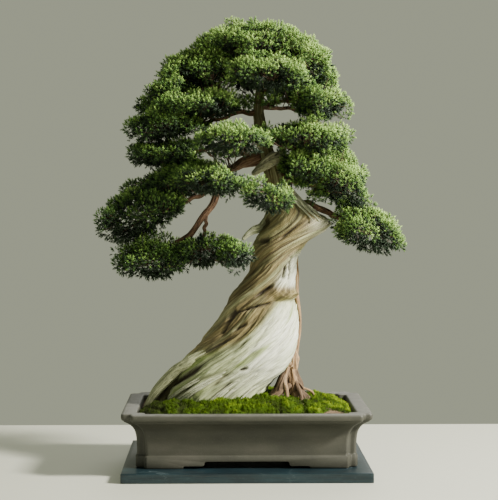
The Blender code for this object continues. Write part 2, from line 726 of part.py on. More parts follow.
# Each pad: its middle, then its half width, half depth and half height, in the same shares as the tree's points,
# and its tilt in degrees, right end up
PADS = {
    "crown": ((0.05, 0.00, 0.939), (0.37, 0.51, 0.058), 0),
    "crown_right": ((0.37, -0.05, 0.885), (0.25, 0.45, 0.063), -38),
    "crown_left": ((-0.31, 0.00, 0.878), (0.27, 0.45, 0.056), 28),
    "crown_front": ((0.14, -0.48, 0.850), (0.27, 0.30, 0.041), -4),
    "crown_back": ((0.08, 0.60, 0.895), (0.39, 0.30, 0.074), 0),
    "shoulder_left": ((-0.48, -0.14, 0.817), (0.17, 0.36, 0.034), 12),
    "shoulder_right": ((0.47, -0.14, 0.786), (0.19, 0.38, 0.047), -12),
    "upper_left": ((-0.31, -0.26, 0.779), (0.31, 0.45, 0.033), 0),
    "left_high": ((-0.52, -0.14, 0.731), (0.26, 0.45, 0.042), 14),
    "left_mid": ((-0.53, 0.05, 0.657), (0.25, 0.43, 0.032), 6),
    "front_high": ((-0.09, -0.60, 0.682), (0.24, 0.30, 0.036), 0),
    "right_mid": ((0.40, -0.24, 0.693), (0.27, 0.40, 0.039), -4),
    "left_upper_arm": ((-0.42, -0.05, 0.582), (0.28, 0.43, 0.045), 20),
    "left_arm": ((-0.68, -0.10, 0.502), (0.35, 0.44, 0.067), 30),
    "left_low_tip": ((-0.60, -0.10, 0.377), (0.25, 0.40, 0.053), 4),
    "left_low_inner": ((-0.26, -0.24, 0.402), (0.21, 0.33, 0.042), 8),
    "front_left_low": ((-0.06, -0.43, 0.393), (0.11, 0.23, 0.036), 0),
    "front_low": ((-0.21, -0.57, 0.580), (0.24, 0.29, 0.033), -6),
    "front_centre": ((0.13, -0.62, 0.540), (0.18, 0.26, 0.038), -12),
    "right_arm_inner": ((0.38, -0.14, 0.616), (0.19, 0.40, 0.042), -14),
    "right_arm": ((0.62, -0.05, 0.574), (0.21, 0.40, 0.055), -36),
    "right_low": ((0.79, 0.00, 0.450), (0.24, 0.39, 0.058), -18),
    "back_left_high": ((-0.41, 0.62, 0.796), (0.34, 0.31, 0.066), 12),
    "back_right_high": ((0.43, 0.57, 0.828), (0.27, 0.31, 0.052), -20),
    "back_left_low": ((-0.49, 0.60, 0.570), (0.37, 0.31, 0.058), 14),
    "back_right_low": ((0.54, 0.55, 0.614), (0.28, 0.31, 0.066), -22),
}
PAD_UNDERSIDE = 0.95  # a pad is flatter below its widest level, by this factor
PAD_LUMPS = 0.09


class Pad:
    """A tilted ellipsoid that the foliage of one branch fills."""

    def __init__(self, middle, sizes, tilt):
        self.middle = at(*middle)
        self.size = Vector((sizes[0] * CANOPY_HALF_WIDTH, sizes[1] * CANOPY_HALF_DEPTH, sizes[2] * TREE_HEIGHT))
        self.turn = Matrix.Rotation(-math.radians(tilt), 3, "Y")

    def place(self, p):
        """A point of the pad from one of the unit ball."""
        return self.middle + self.turn @ Vector(p[i] * self.size[i] for i in range(3))

    def reach(self, normal):
        """How far the pad goes from its middle along a direction."""
        turned = self.turn.transposed() @ normal
        return math.sqrt(sum((self.size[i] * turned[i]) ** 2 for i in range(3)))


def parting_plane(mine, theirs):
    """A point and a normal of the plane that shares out the space between two pads."""
    way = theirs.middle - mine.middle
    normal = Vector(way[i] / (mine.size[i] + theirs.size[i]) ** 2 for i in range(3)).normalized()
    share = mine.reach(normal) / (mine.reach(normal) + theirs.reach(normal))
    return mine.middle.lerp(theirs.middle, share), normal


def make_pads(wood):
    foliage = finish("juniper_foliage", (0.060, 0.105, 0.030), 0.7)
    pads = {name: Pad(*measures) for name, measures in PADS.items()}
    for number, (name, mine) in enumerate(pads.items()):
        chance = random.Random(number)
        waves = [(chance.randint(2, 4), chance.randint(1, 3), chance.uniform(0, 2 * math.pi)) for _ in range(4)]
        bm = bmesh.new()
        bmesh.ops.create_uvsphere(bm, u_segments=PAD_SIDES, v_segments=PAD_LEVELS, radius=1)
        for v in bm.verts:
            turn, lift = math.atan2(v.co.y, v.co.x), v.co.z
            lumps = sum(math.sin(a * turn + b * 2 * lift + c) for a, b, c in waves) / len(waves)
            p = v.co * (1 + 2 * PAD_LUMPS * lumps * (1 - lift * lift) ** 0.5)
            p.z *= 1 if p.z > 0 else PAD_UNDERSIDE
            v.co = mine.place(p)
        for other, theirs in pads.items():
            if other == name:
                continue
            co, normal = parting_plane(mine, theirs)
            everything = bm.verts[:] + bm.edges[:] + bm.faces[:]
            bmesh.ops.bisect_plane(
                bm, geom=everything, dist=1e-6, plane_co=co - normal * GAP / 2, plane_no=normal, clear_outer=True
            )
            bmesh.ops.holes_fill(bm, edges=[e for e in bm.edges if e.is_boundary])
        bmesh.ops.recalc_face_normals(bm, faces=bm.faces)
        pad = add("foliage_pad_" + name, bm, foliage)
        cut_by_neighbours(pad, wood.rooms)


def main():
    for obj in list(bpy.data.objects):
        bpy.data.objects.remove(obj)
    make_board()
    make_pot()
    make_drainage()
    wood = Wood()
    make_trunk(wood)
    make_vein(wood)
    make_roots(wood)
    in_soil = list(wood.rooms)
    make_jins(wood)
    make_branches(wood)
    make_pads(wood)
    make_soil(in_soil)
    make_root_ball(in_soil)
    make_ground_cover(in_soil)


main()
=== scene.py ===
import math

import bpy
import numpy as np
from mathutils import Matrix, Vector, noise
from mathutils.bvhtree import BVHTree


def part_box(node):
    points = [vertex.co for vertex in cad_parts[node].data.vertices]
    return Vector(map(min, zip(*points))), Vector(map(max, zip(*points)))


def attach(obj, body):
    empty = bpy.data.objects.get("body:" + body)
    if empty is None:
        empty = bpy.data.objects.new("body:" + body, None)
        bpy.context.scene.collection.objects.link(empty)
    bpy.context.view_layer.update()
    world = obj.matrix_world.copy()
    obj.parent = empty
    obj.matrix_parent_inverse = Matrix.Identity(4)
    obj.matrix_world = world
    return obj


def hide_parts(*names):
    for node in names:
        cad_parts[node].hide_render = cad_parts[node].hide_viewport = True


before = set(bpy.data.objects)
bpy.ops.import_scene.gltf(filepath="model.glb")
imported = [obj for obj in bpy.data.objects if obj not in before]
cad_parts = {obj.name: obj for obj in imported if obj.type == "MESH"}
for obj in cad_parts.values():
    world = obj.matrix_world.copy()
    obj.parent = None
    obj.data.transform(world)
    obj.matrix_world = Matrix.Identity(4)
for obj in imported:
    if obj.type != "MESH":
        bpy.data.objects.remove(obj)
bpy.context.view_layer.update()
print("frame loaded:", len(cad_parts), "nodes")


# what every part of the making uses

downwards = Vector((0, 0, -1))
goldenTurn = 2.39996  # radians from one sprig to the next round a stem or a dome


def nodesNamed(start):
    return sorted(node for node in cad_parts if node.startswith(start))


def capitals(words):
    return "".join(word.capitalize() for word in words)


def refinish(node, finish):
    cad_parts[node].data.materials.clear()
    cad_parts[node].data.materials.append(finish)


def linkPiece(name, mesh):
    piece = bpy.data.objects.new(name, mesh)
    bpy.context.scene.collection.objects.link(piece)
    return piece


def clearSelection():
    if bpy.context.mode != "OBJECT":
        bpy.ops.object.mode_set(mode="OBJECT")
    bpy.ops.object.select_all(action="DESELECT")


def useOnly(piece):
    clearSelection()
    piece.select_set(True)
    bpy.context.view_layer.objects.active = piece


def settle(piece):
    # the place goes into the mesh, and the object sits at the origin
    useOnly(piece)
    bpy.ops.object.transform_apply(location=True, rotation=True, scale=True)


def hand(piece, nodes=()):
    # every finished piece rides on the one body and stands for its CAD nodes
    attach(piece, "root")
    if nodes:
        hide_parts(*nodes)


def applyModifiers(piece):
    useOnly(piece)
    for modifier in list(piece.modifiers):
        bpy.ops.object.modifier_apply(modifier=modifier.name)


def meshPiece(name, points, faces, materials):
    # a piece from arrays: points in metres, faces all with the same number of corners
    mesh = bpy.data.meshes.new(name)
    corners = faces.shape[1]
    mesh.vertices.add(len(points))
    mesh.vertices.foreach_set("co", np.ascontiguousarray(points, np.float32).ravel())
    mesh.loops.add(faces.size)
    mesh.loops.foreach_set("vertex_index", np.ascontiguousarray(faces, np.int32).ravel())
    mesh.polygons.add(len(faces))
    mesh.polygons.foreach_set("loop_start", np.arange(0, faces.size, corners, dtype=np.int32))
    mesh.update(calc_edges=True)
    for material in materials:
        mesh.materials.append(material)
    return linkPiece(name, mesh)


def keepMap(piece, u, v):
    # the piece's own map, one place per corner
    layer = piece.data.uv_layers.new(name="OFBake")
    layer.data.foreach_set("uv", np.stack([u, v], 1).astype(np.float32).ravel())


def unit(vectors):
    return vectors / np.maximum(np.linalg.norm(vectors, axis=-1, keepdims=True), 1e-9)


def surfacePoints(node, count, chance):
    # points spread evenly over a CAD node's faces, with the face normals
    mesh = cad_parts[node].data
    mesh.calc_loop_triangles()
    places = np.empty(len(mesh.vertices) * 3)
    mesh.vertices.foreach_get("co", places)
    places = places.reshape(-1, 3)
    corners = np.empty(len(mesh.loop_triangles) * 3, np.int32)
    mesh.loop_triangles.foreach_get("vertices", corners)
    a, b, c = (places[corners.reshape(-1, 3)[:, k]] for k in range(3))
    cross = np.cross(b - a, c - a)
    area = np.linalg.norm(cross, axis=1) / 2
    pick = chance.choice(len(area), count, p=area / area.sum())
    s, t = chance.random(count), chance.random(count)
    flip = s + t > 1
    s, t = np.where(flip, 1 - s, s), np.where(flip, 1 - t, t)
    points = a[pick] + (b - a)[pick] * s[:, None] + (c - a)[pick] * t[:, None]
    return points, unit(cross[pick]), area.sum()


def spineOf(node, bins, chance):
    # middle line and radius of a CAD stem, from its root to its tip
    points = surfacePoints(node, 6000, chance)[0]
    middle = points.mean(0)
    axis = np.linalg.svd(points - middle, full_matrices=False)[2][0]
    share = (points - middle) @ axis
    edges = np.linspace(share.min(), share.max(), bins + 1)
    centres, radii = [], []
    for low, high in zip(edges, edges[1:]):
        inside = points[(share >= low) & (share < high)]
        if len(inside) < 20:
            continue
        centre = inside.mean(0)
        off = inside - centre
        off = off - np.outer(off @ axis, axis)
        centres.append(centre)
        radii.append(np.linalg.norm(off, axis=1).mean())
    return np.array(centres), np.array(radii)


def smoothPath(points, widths, steps):
    # Catmull-Rom through the points, widths eased along with them
    points = np.asarray(points, float)
    ends = np.vstack([2 * points[0] - points[1], points, 2 * points[-1] - points[-2]])
    path, sizes = [], []
    for k in range(len(points) - 1):
        a, b, c, d = ends[k : k + 4]
        for t in np.arange(steps) / steps:
            square, cube = 2 * a - 5 * b + 4 * c - d, 3 * b - a - 3 * c + d
            path.append(0.5 * (2 * b + (c - a) * t + square * t**2 + cube * t**3))
            sizes.append(widths[k] + (widths[k + 1] - widths[k]) * t)
    return np.array(path + [points[-1]]), np.array(sizes + [widths[-1]])


def turnedFrames(path):
    # two directions across the path at every point, twisting as little as they can
    ahead = unit(np.gradient(path, axis=0))
    across = np.empty_like(path)
    side = np.cross(ahead[0], (0.3, 0.9, 0.31))
    for k, way in enumerate(ahead):
        side = side - way * (side @ way)
        side = side / np.linalg.norm(side)
        across[k] = side
    return across, np.cross(ahead, across)


def shaderOf(name, roughness):
    made = bpy.data.materials.new(name)
    made.use_nodes = True
    shader = made.node_tree.nodes["Principled BSDF"]
    shader.inputs["Roughness"].default_value = roughness
    return made, made.node_tree, shader


def addNode(tree, kind, **values):
    node = tree.nodes.new("ShaderNode" + kind)
    for key, value in values.items():
        if key in node.inputs.keys():
            node.inputs[key].default_value = value
        else:
            setattr(node, key, value)
    return node


def noiseOn(tree, vector, scale, detail=4.0, roughness=0.55):
    node = addNode(tree, "TexNoise", Scale=scale, Detail=detail, Roughness=roughness)
    tree.links.new(vector, node.inputs["Vector"])
    return node.outputs["Fac"]


def rampOn(tree, value, stops):
    node = addNode(tree, "ValToRGB")
    points = node.color_ramp.elements
    while len(points) < len(stops):
        points.new(0.5)
    for point, (place, colour) in zip(points, stops):
        point.position = place
        point.color = (*colour, 1)
    tree.links.new(value, node.inputs["Fac"])
    return node.outputs["Color"]


def blendOn(tree, share, first, second, way="MIX"):
    # colours blended by a share, each side a socket or a plain colour
    node = addNode(tree, "Mix", data_type="RGBA", blend_type=way)
    for socket, value in ((node.inputs[0], share), (node.inputs[6], first), (node.inputs[7], second)):
        if isinstance(value, bpy.types.NodeSocket):
            tree.links.new(value, socket)
        elif isinstance(value, tuple):
            socket.default_value = (*value, 1)
        else:
            socket.default_value = value
    return node.outputs[2]


def bumpOn(tree, shader, height, strength, distance):
    node = addNode(tree, "Bump", Strength=strength, Distance=distance)
    tree.links.new(height, node.inputs["Height"])
    tree.links.new(node.outputs["Normal"], shader.inputs["Normal"])


def objectPlace(tree, scale=(1, 1, 1), turn=(0, 0, 0)):
    place = addNode(tree, "TexCoord")
    mapping = addNode(tree, "Mapping", Scale=scale, Rotation=turn)
    tree.links.new(place.outputs["Object"], mapping.inputs["Vector"])
    return mapping.outputs["Vector"]


def attributeOn(tree, name, output="Fac"):
    return addNode(tree, "Attribute", attribute_name=name).outputs[output]


def grey(value):
    return (value, value, value)


def mapFinish(name, roughness, stops, tipStops):
    # the map runs from dark to light across, and from a leaf's base to its tip upwards
    made, tree, shader = shaderOf(name, roughness)
    place = addNode(tree, "UVMap", uv_map="OFBake")
    parts = addNode(tree, "SeparateXYZ")
    tree.links.new(place.outputs["UV"], parts.inputs[0])
    body = rampOn(tree, parts.outputs["X"], stops)
    tips = rampOn(tree, parts.outputs["Y"], tipStops)
    tree.links.new(blendOn(tree, 1.0, body, tips, "MULTIPLY"), shader.inputs["Base Color"])
    return made, shader


# camera, light and floor

view = {
    "place": (-0.0496, -3.1325, 0.5575),
    "down": math.radians(1.9868),
    "right": math.radians(1.0319),
    "lens": 108.6,
    "floorFront": -5.0,
    "floorBack": 0.56,
    "floorHalf": 3.2,
    "floorColour": (0.56, 0.57, 0.48),
    "airColour": (0.62, 0.65, 0.48),
    "airLight": 0.56,
}


def makeView():
    clearSelection()
    turn = (math.pi / 2 - view["down"], 0, -view["right"])
    bpy.ops.object.camera_add(location=view["place"], rotation=turn)
    camera = bpy.context.object
    camera.data.lens = view["lens"]
    bpy.context.scene.camera = camera
    # name, place, size, power, colour
    lamps = [
        ("sun", (3.5, -1.5, 2.5), 0.6, 690, (1.0, 0.965, 0.88)),
        ("sky", (-1.8, -2.6, 2.4), 2.4, 12, (0.88, 0.94, 1.0)),
        ("rear", (0.6, 3.0, 2.4), 2.0, 40, (1.0, 0.98, 0.94)),
    ]
    for name, place, size, power, colour in lamps:
        bpy.ops.object.light_add(type="AREA", location=place)
        lamp = bpy.context.object
        lamp.name = name
        lamp.data.size = size
        lamp.data.energy = power
        lamp.data.color = colour
        aim = Vector((0, 0, 0.45)) - Vector(place)
        lamp.rotation_euler = aim.to_track_quat("-Z", "Y").to_euler()
    world = bpy.data.worlds.new("air")
    bpy.context.scene.world = world
    world.use_nodes = True
    air = world.node_tree.nodes["Background"]
    air.inputs["Color"].default_value = (*view["airColour"], 1)
    air.inputs["Strength"].default_value = view["airLight"]
    depth = view["floorBack"] - view["floorFront"]
    middle = (view["floorBack"] + view["floorFront"]) / 2
    size = (2 * view["floorHalf"], depth, 0.04)
    bpy.ops.mesh.primitive_cube_add(size=1, location=(0, middle, -0.0205), scale=size)
    floor = bpy.context.object
    floor.name = "floor"
    made, _, shader = shaderOf("paleFloor", 0.55)
    shader.inputs["Base Color"].default_value = (*view["floorColour"], 1)
    floor.data.materials.append(made)


makeView()
print("camera, light and floor made")


# slate board

slate = {
    "bevel": 0.0014,
    "shortest": 0.010,
    "cuts": 64,
    "uneven": 0.0005,
    "dark": (0.003, 0.010, 0.014),
    "light": (0.008, 0.024, 0.031),
    "vein": (0.13, 0.17, 0.18),
}


def slateFinish():
    made, tree, shader = shaderOf("slate", 0.38)
    place = objectPlace(tree)
    cloud = noiseOn(tree, objectPlace(tree, (6, 9, 40)), 3.0, 6.0)
    body = rampOn(tree, cloud, [(0.30, slate["dark"]), (0.72, slate["light"])])
    dust = rampOn(tree, noiseOn(tree, place, 160.0, 3.0), [(0.55, grey(0)), (0.75, grey(0.18))])
    body = blendOn(tree, dust, body, (0.06, 0.09, 0.10))
    crack = addNode(tree, "TexVoronoi", feature="DISTANCE_TO_EDGE", Scale=9.0)
    wave = addNode(tree, "TexNoise", Scale=7.0).outputs["Color"]
    bent = blendOn(tree, 0.09, objectPlace(tree, (1.6, 0.7, 1.0)), wave)
    tree.links.new(bent, crack.inputs["Vector"])
    line = rampOn(tree, crack.outputs["Distance"], [(0.0, grey(1)), (0.007, grey(0))])
    broken = rampOn(tree, noiseOn(tree, place, 14.0, 2.0), [(0.54, grey(0)), (0.64, grey(0.9))])
    line = blendOn(tree, 1.0, line, broken, "MULTIPLY")
    tree.links.new(blendOn(tree, line, body, slate["vein"]), shader.inputs["Base Color"])
    bumpOn(tree, shader, noiseOn(tree, objectPlace(tree, (1, 1, 4)), 90.0, 5.0), 0.35, 0.0006)
    return made


def makeSlate():
    low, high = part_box("slate_board")
    clearSelection()
    bpy.ops.mesh.primitive_cube_add(size=1, location=(low + high) / 2, scale=high - low)
    board = bpy.context.object
    board.name = "slateBoard"
    settle(board)
    bpy.ops.object.mode_set(mode="EDIT")
    bpy.ops.mesh.select_all(action="SELECT")
    bpy.ops.mesh.bevel(offset=slate["bevel"], segments=2)
    bpy.ops.mesh.select_mode(type="EDGE")
    bpy.ops.mesh.select_all(action="DESELECT")
    bpy.ops.object.mode_set(mode="OBJECT")
    for edge in board.data.edges:
        first, second = (board.data.vertices[k].co for k in edge.vertices)
        edge.select = (first - second).length > slate["shortest"]  # all but those across the bevels
    bpy.ops.object.mode_set(mode="EDIT")
    bpy.ops.mesh.subdivide(number_cuts=slate["cuts"])
    bpy.ops.object.mode_set(mode="OBJECT")
    for vertex in board.data.vertices:
        place = vertex.co
        wave = noise.fractal(place * 55, 0.8, 2.0, 4)
        if place.z > high.z - 0.0002:
            place.z += slate["uneven"] * 0.3 * min(wave, 0)
        elif place.z > low.z + 0.001:
            flake = noise.noise(Vector((place.x * 25, place.y * 25, place.z * 420)))
            chip = slate["uneven"] * (0.5 + 0.5 * flake)
            place.x -= math.copysign(chip, place.x) * (abs(place.x) > high.x - 0.001)
            place.y -= math.copysign(chip, place.y) * (abs(place.y) > high.y - 0.001)
    board.data.materials.append(slateFinish())
    useOnly(board)
    bpy.ops.object.shade_smooth_by_angle(angle=math.radians(32))
    hand(board, ["slate_board"])


makeSlate()
print("slate board made")


# pot

clay = {
    "rim": 0.0305,
    "lip": 0.0145,
    "overhang": 0.028,
    "step": 0.0165,
    "bend": 0.0062,
    "belt": 0.025,
    "beltProud": 0.003,
    "foot": 0.0145,
    "footWidth": 0.014,
    "floor": 0.024,
    "floorInset": 0.0465,
    "holes": 0.110,
    "holeSize": 0.034,
    "frontArch": (0.0845, 0.042),
    "sideArch": (0.0475, 0.030),
    "shoulder": 0.005,
    "dark": (0.024, 0.024, 0.017),
    "body": (0.040, 0.040, 0.028),
    # the rim top's pale grey: dust, and a painted highlight along the edge
    "dust": (0.120, 0.120, 0.105),
}


def clayFinish(rimTop):
    made, tree, shader = shaderOf("unglazedClay", 0.58)
    place = objectPlace(tree)
    patches = noiseOn(tree, objectPlace(tree, (1, 1, 2.4)), 11.0, 5.0, 0.6)
    body = rampOn(tree, patches, [(0.28, clay["dark"]), (0.55, clay["body"]), (0.80, (0.060, 0.056, 0.043))])
    specks = rampOn(tree, noiseOn(tree, place, 420.0, 2.0), [(0.60, grey(0)), (0.72, grey(0.35))])
    body = blendOn(tree, specks, body, (0.10, 0.095, 0.080))
    # the rim's flat top and its top edge are lighter: dust, and a painted highlight along the edge
    height = addNode(tree, "SeparateXYZ")
    tree.links.new(place, height.inputs[0])
    near = addNode(tree, "MapRange")
    near.inputs["From Min"].default_value = rimTop - 0.0030
    near.inputs["From Max"].default_value = rimTop - 0.0004
    tree.links.new(height.outputs["Z"], near.inputs["Value"])
    paleAndLit = rampOn(tree, noiseOn(tree, place, 38.0, 5.0), [(0.30, grey(0.45)), (0.70, grey(0.95))])
    share = blendOn(tree, 1.0, near.outputs["Result"], paleAndLit, "MULTIPLY")
    tree.links.new(blendOn(tree, share, body, clay["dust"]), shader.inputs["Base Color"])
    bumpOn(tree, shader, noiseOn(tree, place, 260.0, 6.0, 0.65), 0.30, 0.0007)
    return made


def potProfile(height):
    # inset from the rim's outline and height above the base, from the underside round to the floor
    body, lipBase = clay["overhang"], height - clay["lip"]
    foot, belt, proud, rim = clay["footWidth"], clay["belt"], clay["beltProud"], clay["rim"]
    flare = lipBase - belt
    points = [(body + foot, clay["foot"]), (body + foot, 0.0), (body + 0.0015, 0.0)]
    points += [(body, 0.003), (body, belt - 0.0012), (body + 0.0010, belt)]
    points += [(body + proud, belt + 0.0006), (body + proud, belt + 0.0030)]
    for k in range(1, 15):  # the wall leans out slowly and then curls under the rim
        t = k / 14
        points.append((body + 0.0026 - 0.0236 * t**5.5 - 0.0020 * t, belt + 0.003 + (flare - 0.0048) * t))
    points += [(0.0052, lipBase - 0.0004), (0.0022, lipBase + 0.0010), (0.0006, lipBase + 0.0034)]
    points += [(0.0, lipBase + 0.0070), (0.0, height - 0.0045), (0.0003, height - 0.0024)]
    points += [(0.0012, height - 0.0010), (0.0030, height - 0.0002), (0.0060, height)]
    points += [(rim - 0.004, height - 0.0006), (rim - 0.0012, height - 0.0013), (rim, height - 0.0030)]
    points += [(rim + 0.0010, height - 0.010), (clay["floorInset"], clay["floor"])]
    return points


def potOutline(length, depth):
    # a rectangle whose corners step inwards, each through three quarter bends
    step, bend = clay["step"], clay["bend"]
    bends = [
        (length / 2 - step - bend, bend - depth / 2, -90, 90),
        (length / 2 - step + bend, step - bend - depth / 2, 180, -90),
        (length / 2 - bend, step + bend - depth / 2, -90, 90),
    ]
    corner = []
    for x, y, start, turn in bends:
        for k in range(8):
            angle = math.radians(start + turn * k / 7)
            corner.append((x + bend * math.cos(angle), y + bend * math.sin(angle)))
    right = corner + [(x, -y) for x, y in reversed(corner)]
    return right + [(-x, -y) for x, y in right]


def flatPiece(name, outline):
    # one flat face through the outline, open in edit mode and selected
    mesh = bpy.data.meshes.new(name)
    mesh.from_pydata(outline, [], [list(range(len(outline)))])
    piece = linkPiece(name, mesh)
    useOnly(piece)
    bpy.ops.object.mode_set(mode="EDIT")
    bpy.ops.mesh.select_all(action="SELECT")
    return piece


def faceOutwards():
    bpy.ops.mesh.select_all(action="SELECT")
    bpy.ops.mesh.normals_make_consistent(inside=False)
    bpy.ops.object.mode_set(mode="OBJECT")


def archCutter(high, shoulder, through, sideways, base):
    # the stepped gap between two feet, drawn flat, extruded and run through the pot
    top, low, wide = clay["foot"] - 0.0004, clay["shoulder"], high + shoulder
    side = [(wide, -0.004), (wide, low - 0.0030), (wide - 0.0009, low - 0.0009), (wide - 0.003, low)]
    side += [(high + 0.004, low), (high + 0.0012, low + 0.0012), (high, low + 0.004)]
    side += [(high, top - 0.004), (high - 0.0012, top - 0.0012), (high - 0.004, top)]
    outline = side + [(-x, z) for x, z in reversed(side)]
    cutter = flatPiece("arch", [(x, -through / 2, base + z) for x, z in outline])
    bpy.ops.mesh.extrude_region_move(TRANSFORM_OT_translate={"value": (0, through, 0)})
    faceOutwards()
    if sideways:
        cutter.rotation_euler = (0, 0, math.pi / 2)
    return cutter


def makePot():
    low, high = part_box("pot")
    length, depth, height = high - low
    profile = potProfile(height)
    inset, rise = profile[0]
    outline = potOutline(length - 2 * inset, depth - 2 * inset)
    pot = flatPiece("pot", [(x, y, low.z + rise) for x, y in outline])
    for (was, below), (now, above) in zip(profile, profile[1:]):
        bpy.ops.mesh.extrude_region_move(TRANSFORM_OT_translate={"value": (0, 0, above - below)})
        grow = ((length / 2 - now) / (length / 2 - was), (depth / 2 - now) / (depth / 2 - was), 1)
        bpy.ops.transform.resize(value=grow, center_override=(0, 0, 0))
    faceOutwards()
    cutters = [
        archCutter(*clay["frontArch"], depth, False, low.z),
        archCutter(*clay["sideArch"], length, True, low.z),
    ]
    for x in (-clay["holes"], clay["holes"]):
        bpy.ops.mesh.primitive_cylinder_add(
            vertices=48, radius=clay["holeSize"] / 2, depth=0.03, location=(x, 0, low.z + clay["foot"] + 0.004)
        )
        cutters.append(bpy.context.object)
    for cutter in cutters:
        cut = pot.modifiers.new("cut", "BOOLEAN")
        cut.object = cutter
    soften = pot.modifiers.new("soften", "BEVEL")
    soften.width, soften.segments, soften.limit_method = 0.0007, 2, "ANGLE"
    soften.angle_limit = math.radians(50)
    applyModifiers(pot)
    for cutter in cutters:
        bpy.data.objects.remove(cutter)
    pot.data.materials.append(clayFinish(high.z))
    useOnly(pot)
    bpy.ops.object.shade_smooth_by_angle(angle=math.radians(40))
    hand(pot, ["pot"])


makePot()
print("pot made")


# deadwood: trunk, left root and jins

deadwood = {
    "columns": 364,
    "rows": 270,
    "flutes": 0.0105,
    "strands": 0.0056,
    "fibres": 0.0027,
    "hairs": 0.0014,
    "chips": 0.0016,
    # x and z along the line where the brown wood above meets the pale wood below
    "paleLine": ((-0.104, 0.232), (-0.018, 0.258), (0.030, 0.295), (0.062, 0.342), (0.101, 0.350)),
    # the healed burl: x, z, half length, half height, how proud
    "burl": (0.082, 0.360, 0.026, 0.0095, 0.012),
    # splits and hollows: x, z, slope in degrees, half length, half width, depth
    "hollows": (
        (0.038, 0.366, 31, 0.020, 0.0034, 0.011),
        (0.033, 0.468, 10, 0.013, 0.0052, 0.012),
        (-0.031, 0.317, 60, 0.013, 0.0046, 0.011),
        (0.020, 0.334, 15, 0.042, 0.0024, 0.008),
        (-0.044, 0.291, 58, 0.016, 0.0030, 0.008),
        (-0.012, 0.293, 32, 0.016, 0.0030, 0.008),
        (-0.063, 0.253, 30, 0.045, 0.0030, 0.009),
        (-0.050, 0.164, 38, 0.024, 0.0040, 0.010),
        (-0.128, 0.189, 33, 0.040, 0.0060, 0.010),
        (-0.005, 0.208, 15, 0.007, 0.0030, 0.006),
        (0.036, 0.502, 60, 0.013, 0.0060, 0.010),
        (0.078, 0.404, 78, 0.014, 0.0020, 0.006),
        (0.089, 0.413, 86, 0.026, 0.0016, 0.005),
        (0.095, 0.492, 38, 0.030, 0.0026, 0.007),
    ),
    "cream": (0.52, 0.57, 0.33),
    "dull": (0.34, 0.38, 0.20),
    "straw": (0.36, 0.30, 0.135),
    "grey": (0.145, 0.170, 0.080),
    "white": (0.95, 0.95, 0.86),
    "tan": (0.205, 0.160, 0.060),
    "brown": (0.060, 0.042, 0.017),
    # painted shade colour for crevices and splits
    "crevice": (0.035, 0.024, 0.012),
    "algae": (0.20, 0.26, 0.065),
}
# how far the grain has turned at each height
turnHeights = (0.11, 0.20, 0.33, 0.42, 0.47, 0.53, 0.60, 0.90)
turnAngles = (0.0, 1.10, 2.30, 3.75, 5.20, 6.70, 7.20, 8.20)


def deadwoodFinish():
    made, tree, shader = shaderOf("deadwood", 0.74)
    flow = attributeOn(tree, "flow", "Vector")
    streak = noiseOn(tree, flow, 3.0, 7.0, 0.66)
    fine = noiseOn(tree, flow, 13.0, 5.0, 0.62)
    body = [(0.32, deadwood["grey"]), (0.46, deadwood["dull"]), (0.60, deadwood["cream"])]
    tanned = [(0.34, deadwood["brown"]), (0.50, deadwood["tan"]), (0.66, deadwood["straw"])]
    body, tanned = rampOn(tree, streak, body), rampOn(tree, streak, tanned)
    body = blendOn(tree, attributeOn(tree, "tanned"), body, tanned)
    lines = rampOn(tree, fine, [(0.36, (0.40, 0.37, 0.30)), (0.50, grey(1))])
    body = blendOn(tree, 0.80, body, lines, "MULTIPLY")
    # the pale colour of bleached wood, also used as painted light on the sun-facing belly and the shoulder's lit edge
    paleAndLit = rampOn(tree, fine, [(0.36, (0.42, 0.45, 0.28)), (0.50, deadwood["white"])])
    # painted shade: the deepest grooves and splits are darkened
    for name, colour in (("bleached", paleAndLit), ("algae", deadwood["algae"]), ("cavity", deadwood["crevice"])):
        body = blendOn(tree, attributeOn(tree, name), body, colour)
    tree.links.new(body, shader.inputs["Base Color"])
    bumpOn(tree, shader, noiseOn(tree, flow, 22.0, 6.0, 0.68), 0.70, 0.0016)
    return made


def gridPiece(name, columns, rows):
    # a flat grid whose two sides become the seam of a round stem
    clearSelection()
    bpy.ops.mesh.primitive_grid_add(x_subdivisions=columns, y_subdivisions=rows, size=1)
    piece = bpy.context.object
    piece.name = name
    piece.data.uv_layers[0].name = "OFBake"
    flat = np.empty(len(piece.data.vertices) * 3)
    piece.data.vertices.foreach_get("co", flat)
    flat = flat.reshape(-1, 3)
    return piece, flat[:, 0] + 0.5, flat[:, 1] + 0.5


def setAttribute(piece, name, values):
    kind = "FLOAT_VECTOR" if np.ndim(values) == 2 else "FLOAT"
    layer = piece.data.attributes.new(name, kind, "POINT")
    field = "vector" if kind == "FLOAT_VECTOR" else "value"
    layer.data.foreach_set(field, np.asarray(values, np.float32).ravel())


def closeStem(piece, points, finish):
    # points go on the grid, the seam is merged, and both ends are filled
    piece.data.vertices.foreach_set("co", np.asarray(points, np.float32).ravel())
    piece.data.update()
    useOnly(piece)
    bpy.ops.object.mode_set(mode="EDIT")
    bpy.ops.mesh.select_all(action="SELECT")
    bpy.ops.mesh.remove_doubles(threshold=0.000002)
    bpy.ops.mesh.select_all(action="DESELECT")
    bpy.ops.mesh.select_mode(type="EDGE")
    bpy.ops.mesh.select_non_manifold(extend=False)
    bpy.ops.mesh.fill_holes(sides=0)
    faceOutwards()
    piece.data.materials.append(finish)
    piece.data.shade_smooth()


def groove(x, y, z):
    # 0 in the bottom of a sharp groove, rising to 1 on round strands
    return min(abs(noise.noise(Vector((x, y, z)))) * 2.4, 1.0) ** 0.75


